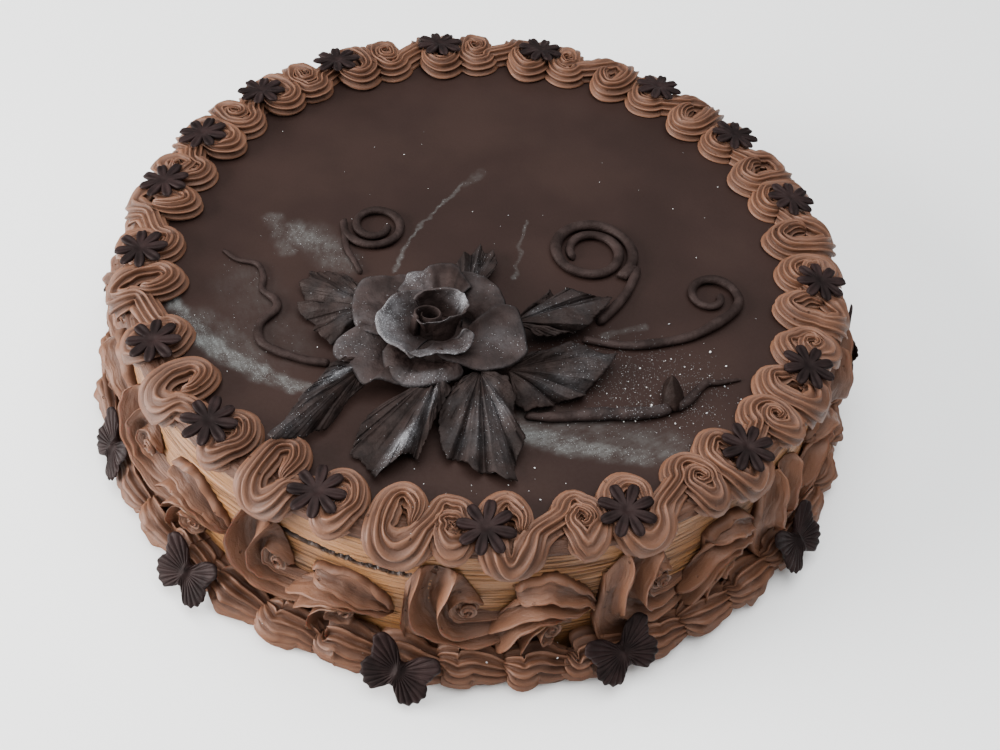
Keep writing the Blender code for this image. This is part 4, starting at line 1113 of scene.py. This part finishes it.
def sheet(front, back):
    """Points and faces of a thin sheet between two equal grids that share their outermost points."""
    rows, columns, _ = front.shape
    above = np.arange(rows * columns).reshape(rows, columns)
    below = above.copy()
    inner = (rows - 2) * (columns - 2)
    below[1:-1, 1:-1] = rows * columns + np.arange(inner).reshape(rows - 2, columns - 2)
    points = np.vstack([front.reshape(-1, 3), back[1:-1, 1:-1].reshape(-1, 3)])
    quads = []
    for index, turn in ((above, 1), (below, -1)):
        corners = [index[:-1, :-1], index[1:, :-1], index[1:, 1:], index[:-1, 1:]][::turn]
        quads.append(np.stack(corners, axis=-1).reshape(-1, 4))
    return points, np.vstack(quads), np.zeros((0, 3), int)


def crumple(side, along, across, up, draw):
    """Fine creases over a sheet: ten chance sine waves that run mostly up it, 0.7 in spread."""
    waves_across = draw.normal(0, across, 10)
    waves_up = draw.normal(0, up, 10)
    phases = draw.uniform(0, 6.28, 10)
    total = np.sin(side[..., None] * waves_across + along[..., None] * waves_up + phases).sum(-1)
    return total / math.sqrt(10)


def petal(rim_rows, base, bend, lip, draw):
    """Front and back grids of a petal, with the places across and along of its points.

    The rim is a smooth curve through rows of (azimuth, radius, z).  Up the petal, (radius, z) is the
    quadratic curve from base towards a bend to the rim; the last fifth curls out and down by 0.9 of
    lip, and slow buckles and fine creases run over the petal.
    """
    rim = spread(np.array(rim_rows, dtype=float), 72)[:, None, :]
    side = np.linspace(-1, 1, 72)[:, None]
    along = np.linspace(0, 1, 34)[None, :]
    middle = rim[:, :, 0].mean()
    start = np.stack(np.broadcast_arrays(base[0], base[1] + 0 * side), axis=-1)
    end = rim[..., 1:]
    turned = start + (end - start) * np.array(bend)
    t = along[..., None]
    place = (1 - t) ** 2 * start + 2 * t * (1 - t) * turned + t**2 * end
    slope = 2 * (1 - t) * (turned - start) + 2 * t * (end - turned)
    slope /= np.linalg.norm(slope, axis=-1, keepdims=True)
    outward = np.stack([slope[..., 1], -slope[..., 0]], axis=-1)
    phases = draw.uniform(0, 6.28, 4)
    buckle = np.sin(5.2 * side + 2.5 * along + phases[0]) * np.sin(6 * along - 2.5 * side + phases[1])
    offset = (0.045 * buckle + 0.022 * crumple(side, along, 22, 9, draw)) * along
    roll = lip * np.clip(along - 0.8, 0, 1) ** 2 / 0.04
    place = place + offset[..., None] * outward + roll[..., None] * (0.5, -0.75)
    angle = np.radians(middle + (rim[:, :, 0] - middle) * (0.72 + 0.28 * along))
    grids = []
    for shift in (0.5, -0.5):
        thick = (0.11 - 0.065 * along) * shift
        spot = place + thick[..., None] * outward
        x, y = ROSE_X + spot[..., 0] * CM * np.cos(angle), ROSE_Y + spot[..., 0] * CM * np.sin(angle)
        grids.append(np.stack([x, y, spot[..., 1] * CM], axis=-1))
    return grids, side, along


def patch(side, along, amount, at_side, at_along, across, up):
    """Dust that thins out like a bell from one place on a sheet."""
    return amount * np.exp(-(((side - at_side) / across) ** 2) - ((along - at_along) / up) ** 2)


def dusty_sheet(name, grids, dust, glint, node_name, material=moulded):
    """One thin sheet of moulding chocolate as a piece, with a film of dust and glints at its points."""
    both = [np.concatenate([part.ravel(), part[1:-1, 1:-1].ravel()]) for part in (dust, glint)]
    piece(name, [sheet(*grids)], material, "moulded_chocolate", [node_name], dust=both[0], glint=both[1])


for name, (base, bend, lip, veil, spot) in PETALS.items():
    grids, side, along = petal(RIMS[name], base, bend, lip, chance)
    edge = np.maximum(np.abs(side) ** 20, along**22) + 0 * along * side
    film = patch(side, along, *spot)
    # edge lightens the petals' rims with dust colour: painted highlight along the rims, added to the real
    # dust of film and veil.
    dust = 0.85 * film + 0.8 * veil * along**0.7 + 0.2 * edge
    dusty_sheet(f"rose_{name}_form", grids, dust, film, f"rose_{name}")

# The bud is a strip rolled a little over once round itself in an oval, open to the top.
turn = np.linspace(0, 1, 110)
roll = np.radians(225 - 420 * turn)
wind = 1 - 0.50 * turn**1.3
roll_top = (8.10 + 0.04 * np.sin(roll) - 0.10 * turn) * CM
rings = []
for out, level in ((1.3, 6.0), (1.35, 6.8), (1.25, 7.4), (1.1, 7.8), (1.0, 8.06), (0.93, 8.10),
                   (0.86, 8.05), (0.82, 7.6), (0.8, 6.8)):
    x = ROSE_X + (-0.36 + 0.52 * wind * out * np.cos(roll)) * CM
    y = ROSE_Y + (-0.24 + 0.34 * wind * out * np.sin(roll)) * CM
    z = np.minimum(level * CM, roll_top + (level - 8.10) * 0.8 * CM)
    rings.append(np.stack([x, y, z], axis=-1))
strip = np.stack(rings, axis=1)
core_r = np.array([1.5, 1.55, 1.2, 0.9, 0.55, 0.3]) * CM
core_z = np.array([6.0, 6.3, 6.5, 6.75, 7.0, 7.2]) * CM
turn = np.radians(np.linspace(0, 360, 48, endpoint=False))
core = np.stack(np.broadcast_arrays(
    ROSE_X + core_r[:, None] * np.cos(turn), ROSE_Y + core_r[:, None] * np.sin(turn), core_z[:, None],
), axis=-1)
shapes = [
    skin(strip, start=strip[0].mean(0), end=strip[-1].mean(0)),
    skin(core, start=(ROSE_X, ROSE_Y, 6.0 * CM), end=(ROSE_X, ROSE_Y, 7.2 * CM)),
]
total = sum(len(shape[0]) for shape in shapes)
piece("rose_bud_form", shapes, moulded, "moulded_chocolate", ["rose_bud"], dust=np.full(total, 0.02))


# ---- Leaves -----------------------------------------------------------------------------------
# Seven leaves of moulding chocolate that spread from under the rose.  Each has pointed lobes and
# folds, and fine lines that all fan out from its stalk; front_left and front glitter most.
LEAF_TINTS = ((0.0068, 0.0042, 0.0036), (0.0180, 0.0112, 0.0096))
leaf_paste = dark_paste("leaf_chocolate", LEAF_TINTS, 0.08, 11.0)
LEAVES = {
    # stalk (x, y, z) in cm, bulge in cm, number of fine lines, veil of dust, then two patches of dust
    # as amount, place across and along, breadth across and along
    "back_left": ((-3.8, -3.8, 6.75), 0.10, 8, 0.03, (0.3, -0.4, 0.25, 0.3, 0.2), (0.15, 0.6, 0.3, 0.4, 0.3)),
    "front_left": ((-3.5, -6.3, 6.45), 0.14, 5, 0.02, (1.9, -0.62, 0.48, 0.13, 0.30),
                   (0.2, -0.1, 0.8, 0.3, 0.3)),
    "front": ((-1.05, -6.6, 6.78), 0.10, 9, 0.03, (0.9, 0.50, 0.36, 0.30, 0.18),
              (1.5, 0.08, 0.78, 0.14, 0.16)),
    "front_right": ((0.35, -6.3, 6.80), 0.12, 10, 0.02, (0.40, 0.45, 0.42, 0.30, 0.25),
                    (0.15, -0.2, 0.6, 0.5, 0.4)),
    "right": ((1.3, -6.1, 6.80), 0.10, 8, 0.00, (0.30, 0.2, 0.8, 0.5, 0.2), (0.15, -0.4, 0.6, 0.4, 0.3)),
    "back_right": ((1.3, -3.9, 6.85), 0.04, 12, 0.03, (0.4, 0.2, 0.35, 0.2, 0.25), (0.1, 0.0, 0.7, 0.4, 0.3)),
    "back": ((-0.4, -2.6, 6.55), 0.00, 6, 0.04, (0.1, 0.0, 0.5, 0.4, 0.3), (0.1, 0.0, 0.7, 0.3, 0.3)),
}
OUTLINES = {
    # (x, y, z) in cm round the edge of each leaf; the folds end where z is low
    "back_left": (
        (-4.3, -2.7, 6.55), (-4.8, -2.1, 6.45), (-5.5, -1.7, 6.25), (-6.3, -1.7, 6.15), (-6.1, -2.3, 6.4),
        (-6.52, -2.5, 6.3), (-6.15, -3.2, 6.12), (-6.4, -3.5, 6.35), (-6.2, -4.0, 6.3),
        (-5.6, -4.3, 6.12), (-5.6, -4.8, 6.35), (-4.85, -5.3, 6.3), (-4.5, -5.0, 6.2), (-4.3, -4.5, 6.4),
    ),
    "front_left": (
        (-4.2, -6.3, 6.7), (-4.65, -6.8, 6.75), (-5.0, -7.55, 6.7), (-5.4, -8.1, 6.65),
        (-5.75, -9.35, 6.7), (-6.15, -9.9, 6.75), (-6.0, -10.2, 6.8), (-5.5, -9.9, 6.6),
        (-5.1, -9.6, 6.45), (-4.85, -9.2, 6.4), (-4.5, -9.0, 6.3), (-4.25, -8.55, 6.3),
        (-3.9, -7.7, 6.35), (-3.4, -7.0, 6.5),
    ),
    "front": (
        (-2.2, -7.3, 6.4), (-2.5, -7.8, 6.45), (-3.0, -8.2, 6.5), (-3.35, -8.8, 6.45), (-3.4, -9.2, 6.4),
        (-3.55, -9.85, 6.25), (-3.2, -9.95, 6.2), (-2.95, -10.2, 6.12), (-2.6, -10.75, 6.3),
        (-2.3, -10.4, 6.45), (-1.85, -9.95, 6.5), (-1.6, -9.7, 6.35), (-1.5, -9.65, 6.12),
        (-1.35, -9.95, 6.3), (-1.15, -9.3, 6.5), (-1.0, -8.6, 6.55), (-0.75, -7.7, 6.55),
        (-0.5, -7.1, 6.6),
    ),
    "front_right": (
        (-0.4, -6.8, 6.6), (-0.65, -7.3, 6.5), (-0.85, -7.9, 6.5), (-0.8, -8.55, 6.45),
        (-0.65, -9.2, 6.35), (-0.35, -9.75, 6.3), (-0.1, -9.5, 6.12), (0.25, -9.85, 6.4),
        (0.65, -10.15, 6.35), (0.85, -9.95, 6.12), (1.2, -10.1, 6.35), (1.65, -10.3, 6.3),
        (1.95, -10.2, 6.2), (1.8, -9.6, 6.15), (2.0, -9.1, 6.4), (2.1, -8.6, 6.45), (1.85, -8.1, 6.4),
        (1.6, -7.6, 6.45), (1.65, -7.1, 6.55), (1.3, -6.5, 6.7),
    ),
    "right": (
        (1.6, -7.1, 6.4), (2.0, -7.4, 6.3), (2.4, -7.25, 6.4), (3.0, -7.0, 6.35), (3.0, -6.7, 6.15),
        (3.5, -6.75, 6.4), (4.05, -6.5, 6.4), (4.0, -6.15, 6.2), (4.35, -5.9, 6.45), (4.65, -5.4, 6.5),
        (5.05, -4.5, 6.45), (4.6, -4.45, 6.3), (3.9, -4.4, 6.5), (3.4, -4.35, 6.6), (2.75, -4.8, 6.6),
        (2.0, -5.2, 6.7),
    ),
    "back_right": (
        (2.1, -4.3, 6.6), (2.7, -4.15, 6.5), (3.3, -3.95, 6.6), (3.5, -3.6, 6.3), (4.0, -3.5, 6.55),
        (4.2, -2.85, 6.5), (4.6, -2.3, 6.5), (4.8, -1.7, 6.4), (4.4, -1.65, 6.3), (3.8, -1.95, 6.6),
        (3.1, -1.8, 6.6), (2.95, -2.3, 6.3), (2.5, -2.0, 6.6), (2.35, -2.6, 6.5), (1.95, -3.0, 6.75),
    ),
    "back": (
        (0.3, -1.5, 6.5), (0.5, -0.6, 6.4), (0.3, 0.2, 6.3), (0.0, 0.15, 6.12), (-0.2, 0.5, 6.3),
        (-0.5, 0.0, 6.15), (-0.75, -0.2, 6.35), (-1.0, -0.9, 6.4), (-0.9, -1.6, 6.5),
    ),
}


def leaf(stalk, bulge, lines, outline, draw):
    """Front and back grids of a leaf, the places across and along of its points, and its lines.

    Straight lines run from the stalk to an outline with corners, so a low z on the outline becomes
    a fold; half way out the leaf stands higher by bulge, and fine bell-shaped ridges fan out.
    """
    rim = np.array(outline)
    run = np.concatenate([[0], np.cumsum(np.linalg.norm(np.diff(rim, axis=0), axis=1))])
    share = np.linspace(0, 1, 170)
    rim = np.stack([np.interp(share * run[-1], run, column) for column in rim.T], axis=1) * CM
    tooth = 2 * np.abs((24 * share + 0.8 * np.sin(9 * share + draw.uniform(0, 6.28))) % 1 - 0.5)
    teeth = (0.035 * (tooth - 0.5))[:, None]
    rim[:, :2] += (rim[:, :2] - rim[:, :2].mean(0)) * teeth + draw.normal(0, 0.12 * MM, (170, 2))
    rim[:, 2] += 0.6 * (rim[:, 2] - 6.4 * CM)
    side = (2 * share - 1)[:, None]
    along = np.linspace(0.02, 1, 40)[None, :]
    start = np.array(stalk) * CM
    front = start + along[..., None] * (rim[:, None] - start)
    phases = draw.uniform(0, 6.28, 3)
    beat = side * lines / 2 + 0.35 * np.sin(4 * side + phases[0]) + 0.05 * np.sin(9 * along + phases[1])
    near = np.sin(7.3 * np.floor(beat) + phases[2])
    ridge = np.exp(-(((beat % 1 - 0.5) / 0.11) ** 2)) * np.clip((along - 0.15 - 0.1 * near) * 4, 0, 1)
    ridge = ridge * np.clip((0.92 + 0.15 * near - along) * 4, 0, 1) * (0.6 + 0.4 * near)
    creases = crumple(side, along, 14, 9, draw) * np.clip(along * 2, 0, 1)
    front[..., 2] += bulge * CM * np.sin(np.pi * along**0.8) + 0.5 * MM * ridge + 0.42 * MM * creases
    front[..., 2] = np.maximum(front[..., 2], SHEET_TOP + 1.1 * MM)
    back = front - np.array([0, 0, 0.7 * MM])
    return (front, back), side, along, ridge


for name, (stalk, bulge, lines, veil, first, second) in LEAVES.items():
    grids, side, along, ridge = leaf(stalk, bulge, lines, OUTLINES[name], chance)
    spots = patch(side, along, *first) + patch(side, along, *second)
    dust = np.clip(spots * (0.7 + 0.6 * ridge) + veil + 0.25 * ridge * (veil + 0.3 * spots), 0, 1.7)
    dusty_sheet(f"leaf_{name}_form", grids, dust, spots, f"leaf_{name}", leaf_paste)


# ---- Tendrils ---------------------------------------------------------------------------------
# Hand-rolled strips of moulding chocolate, up to 5 mm wide and 4 mm high and thinner at one end or
# both, lie curled on the sheet, and a small pointed bud stands between two at the front right.
def coil(centre, start, turns, inner, outer):
    """A flat spiral in cm that grows from its inner end and turns clockwise."""
    share = np.linspace(0, 1, max(4, round(14 * turns)))
    angle = np.radians(start - 360 * turns * share)
    radius = inner + (outer - inner) * share
    return np.stack([centre[0] + radius * np.cos(angle), centre[1] + radius * np.sin(angle)], axis=1)


# Each as its route, and its radius at its start, middle and end, in cm.
TENDRILS = {
    "small": (np.vstack([
        coil((-4.25, 1.05), 15, 1.55, 0.45, 1.2), [(-5.15, -0.2), (-4.75, -0.9), (-4.4, -1.5)],
    ]), 0.15, 0.17, 0.10),
    "large": (np.vstack([
        coil((3.95, 0.8), 215, 1.72, 0.75, 1.65), [(5.65, 0.1), (5.4, -1.0), (4.95, -1.9), (4.35, -2.8)],
    ]), 0.17, 0.21, 0.18),
    "right": (np.vstack([
        coil((8.45, -0.85), 30, 1.12, 0.3, 1.05),
        [(9.1, -1.75), (7.9, -2.85), (6.6, -3.45), (5.3, -3.75), (3.8, -3.65)],
    ]), 0.14, 0.20, 0.15),
    "left": (np.array([
        (-9.6, -1.0), (-9.0, -1.45), (-8.2, -1.6), (-7.85, -2.2), (-7.75, -2.85), (-7.2, -3.3),
        (-7.1, -3.75), (-7.5, -4.5), (-7.35, -5.3), (-6.7, -5.7), (-5.7, -5.95), (-4.8, -6.0),
    ]), 0.07, 0.16, 0.16),
    "branch": (np.array([
        (2.0, -7.4), (3.0, -7.35), (4.5, -7.05), (5.8, -6.85), (6.5, -6.65), (6.95, -6.4),
    ]), 0.14, 0.25, 0.22),
    "tip": (np.array([
        (7.1, -6.4), (7.6, -5.95), (8.15, -5.15), (8.7, -4.98), (9.45, -4.7),
    ]), 0.20, 0.15, 0.05),
}


def rolled(route, start, middle, end, draw):
    """Rings of a hand-rolled strip lying on the sheet; its radius runs from start by middle to end."""
    line = flow(route, 150) * CM
    share = np.linspace(0, 1, 150)
    radius = np.interp(share, (0, 0.5, 1), (start, middle, end)) * CM
    slow = 0.05 * np.sin(share * 23 + draw.uniform(0, 6))
    quick = 0.04 * np.sin(share * 51 + draw.uniform(0, 6))
    radius = radius * (1 + slow + quick)
    run = share * np.linalg.norm(np.diff(line, axis=0), axis=1).sum()
    ends = np.clip(np.minimum(run, run[-1] - run) / radius, 0.02, 1)
    radius = radius * np.sqrt(1 - (1 - ends) ** 2)
    ahead = np.gradient(line, axis=0)
    ahead /= np.linalg.norm(ahead, axis=1, keepdims=True)
    beside = np.stack([-ahead[:, 1], ahead[:, 0]], axis=1)
    angle = np.linspace(0, 2 * np.pi, 18, endpoint=False)
    flat = line[:, None] + (radius[:, None] * np.cos(angle))[..., None] * beside[:, None]
    z = SHEET_TOP + 0.1 * MM + 0.8 * radius[:, None] * (0.92 + np.maximum(np.sin(angle), -0.92))
    return np.concatenate([flat, z[..., None]], axis=-1)


for name, (route, start, middle, end) in TENDRILS.items():
    rings = rolled(route, start, middle, end, chance)
    shape = skin(rings, start=rings[0].mean(0), end=rings[-1].mean(0))
    near_glitter = np.exp(-((shape[0][:, 0] / CM - 5.5) / 2) ** 2 - ((shape[0][:, 1] / CM + 6) / 1.8) ** 2)
    piece(
        f"tendril_{name}_form", [shape], moulded, "moulded_chocolate", [f"tendril_{name}"],
        dust=0.10 * near_glitter, glint=0.7 * near_glitter,
    )
bud_r = np.array([0.30, 0.40, 0.47, 0.45, 0.36, 0.24, 0.12, 0.04]) * CM
bud_z = np.array([5.97, 6.03, 6.15, 6.3, 6.48, 6.64, 6.78, 6.88]) * CM
turn = np.radians(np.linspace(0, 360, 40, endpoint=False))
fluted = bud_r[:, None] * (1 - 0.10 * np.abs(np.sin(2.5 * turn)))
lean = (bud_z - 5.97 * CM)[:, None] * 0.35
rings = np.stack(np.broadcast_arrays(
    7.02 * CM + 0.85 * fluted * np.cos(turn) - 0.5 * lean, -6.0 * CM + 1.45 * fluted * np.sin(turn) + lean,
    bud_z[:, None],
), axis=-1)
shape = skin(rings, start=rings[0].mean(0), end=rings[-1].mean(0))
# The bud takes the darker leaf paste, with no dust, to stand for the shade it sits in: painted shade.
piece("tendril_bud_form", [shape], leaf_paste, "moulded_chocolate", ["tendril_bud"],
      dust=np.zeros(len(shape[0])))


# ---- Glitter ----------------------------------------------------------------------------------
# Loose flakes of edible glitter, 0.2 to 0.9 mm across, lie mostly on the front right of the sheet, a
# few all over it, and some on the front of the border and of the shells.  Each is a six-sided
# silvery flake that rests at a chance tilt.
def flakes(places, draw):
    """One flat six-sided double cone at each place, with a chance size, turn and tilt."""
    count = len(places)
    size = draw.uniform(0, 1, (count, 1, 1))
    size = (0.10 + 0.10 * size + 0.24 * size**8) * MM
    turn = draw.uniform(0, 2 * np.pi, (count, 1)) + np.radians(np.arange(6) * 60)
    flat = np.stack([np.cos(turn), np.sin(turn), 0 * turn], axis=-1)
    flat = np.concatenate([flat, np.tile([[0.0, 0.0, 0.3], [0.0, 0.0, -0.3]], (count, 1, 1))], axis=1)
    lean = draw.uniform(-0.6, 0.6, (count, 2, 1))
    flat[..., 2] += flat[..., 0] * lean[:, 0] + flat[..., 1] * lean[:, 1]
    points = (places[:, None] + flat * size).reshape(-1, 3)
    ring = np.arange(6)
    upper = np.stack([ring, np.roll(ring, -1), np.full(6, 6)], axis=1)
    lower = np.stack([np.roll(ring, -1), ring, np.full(6, 7)], axis=1)
    faces = (np.arange(count)[:, None, None] * 8 + np.vstack([upper, lower])).reshape(-1, 3)
    return points, np.zeros((0, 4), int), faces


def scattered(points, low_bearing, high_bearing, least_z, count, draw):
    """Chance points out of many that lie between two bearings and above a height."""
    bearing = (np.degrees(np.arctan2(points[:, 0], -points[:, 1])) - low_bearing) % 360
    chosen = points[(bearing < high_bearing - low_bearing) & (points[:, 2] > least_z)]
    return chosen[draw.integers(0, len(chosen), count)] + draw.normal(0, 0.1 * MM, (count, 3))


glitter, glitter_shader = blank("glitter", Specular_IOR_Level=0.5)
tree = glitter.node_tree
shine = span(tree, noise(tree, 900.0, 1.0), 0.35, 0.65)
colour = blend_colours(tree, shine, (0.42, 0.42, 0.43), (0.86, 0.86, 0.84))
wire(tree, glitter_shader, Base_Color=colour, Roughness=span(tree, shine, 0.0, 1.0, 0.5, 0.25))
heap = chance.normal(0, 1, (130, 2)) * (1.7, 1.0) + (6.6, -5.6)
heap = np.vstack([heap, chance.uniform((-2.5, -11.3), (4.5, -9.4), (26, 2)),
                  chance.uniform((-10.5, -8), (10.5, 8), (60, 2))])
heap = heap[np.hypot(heap[:, 0], heap[:, 1]) < 11.2]
on_sheet = np.column_stack([heap * CM, np.full(len(heap), SHEET_TOP + 0.15 * MM)])
on_border = scattered(border_points, 338, 372, COAT_TOP + 3 * MM, 46, chance)
on_shells = scattered(shell_points, 335, 390, 0.9 * CM, 26, chance)
places = np.vstack([on_sheet, on_border, on_shells])
piece("glitter_flakes", [flakes(places, chance)], glitter, "chocolate_sheet")
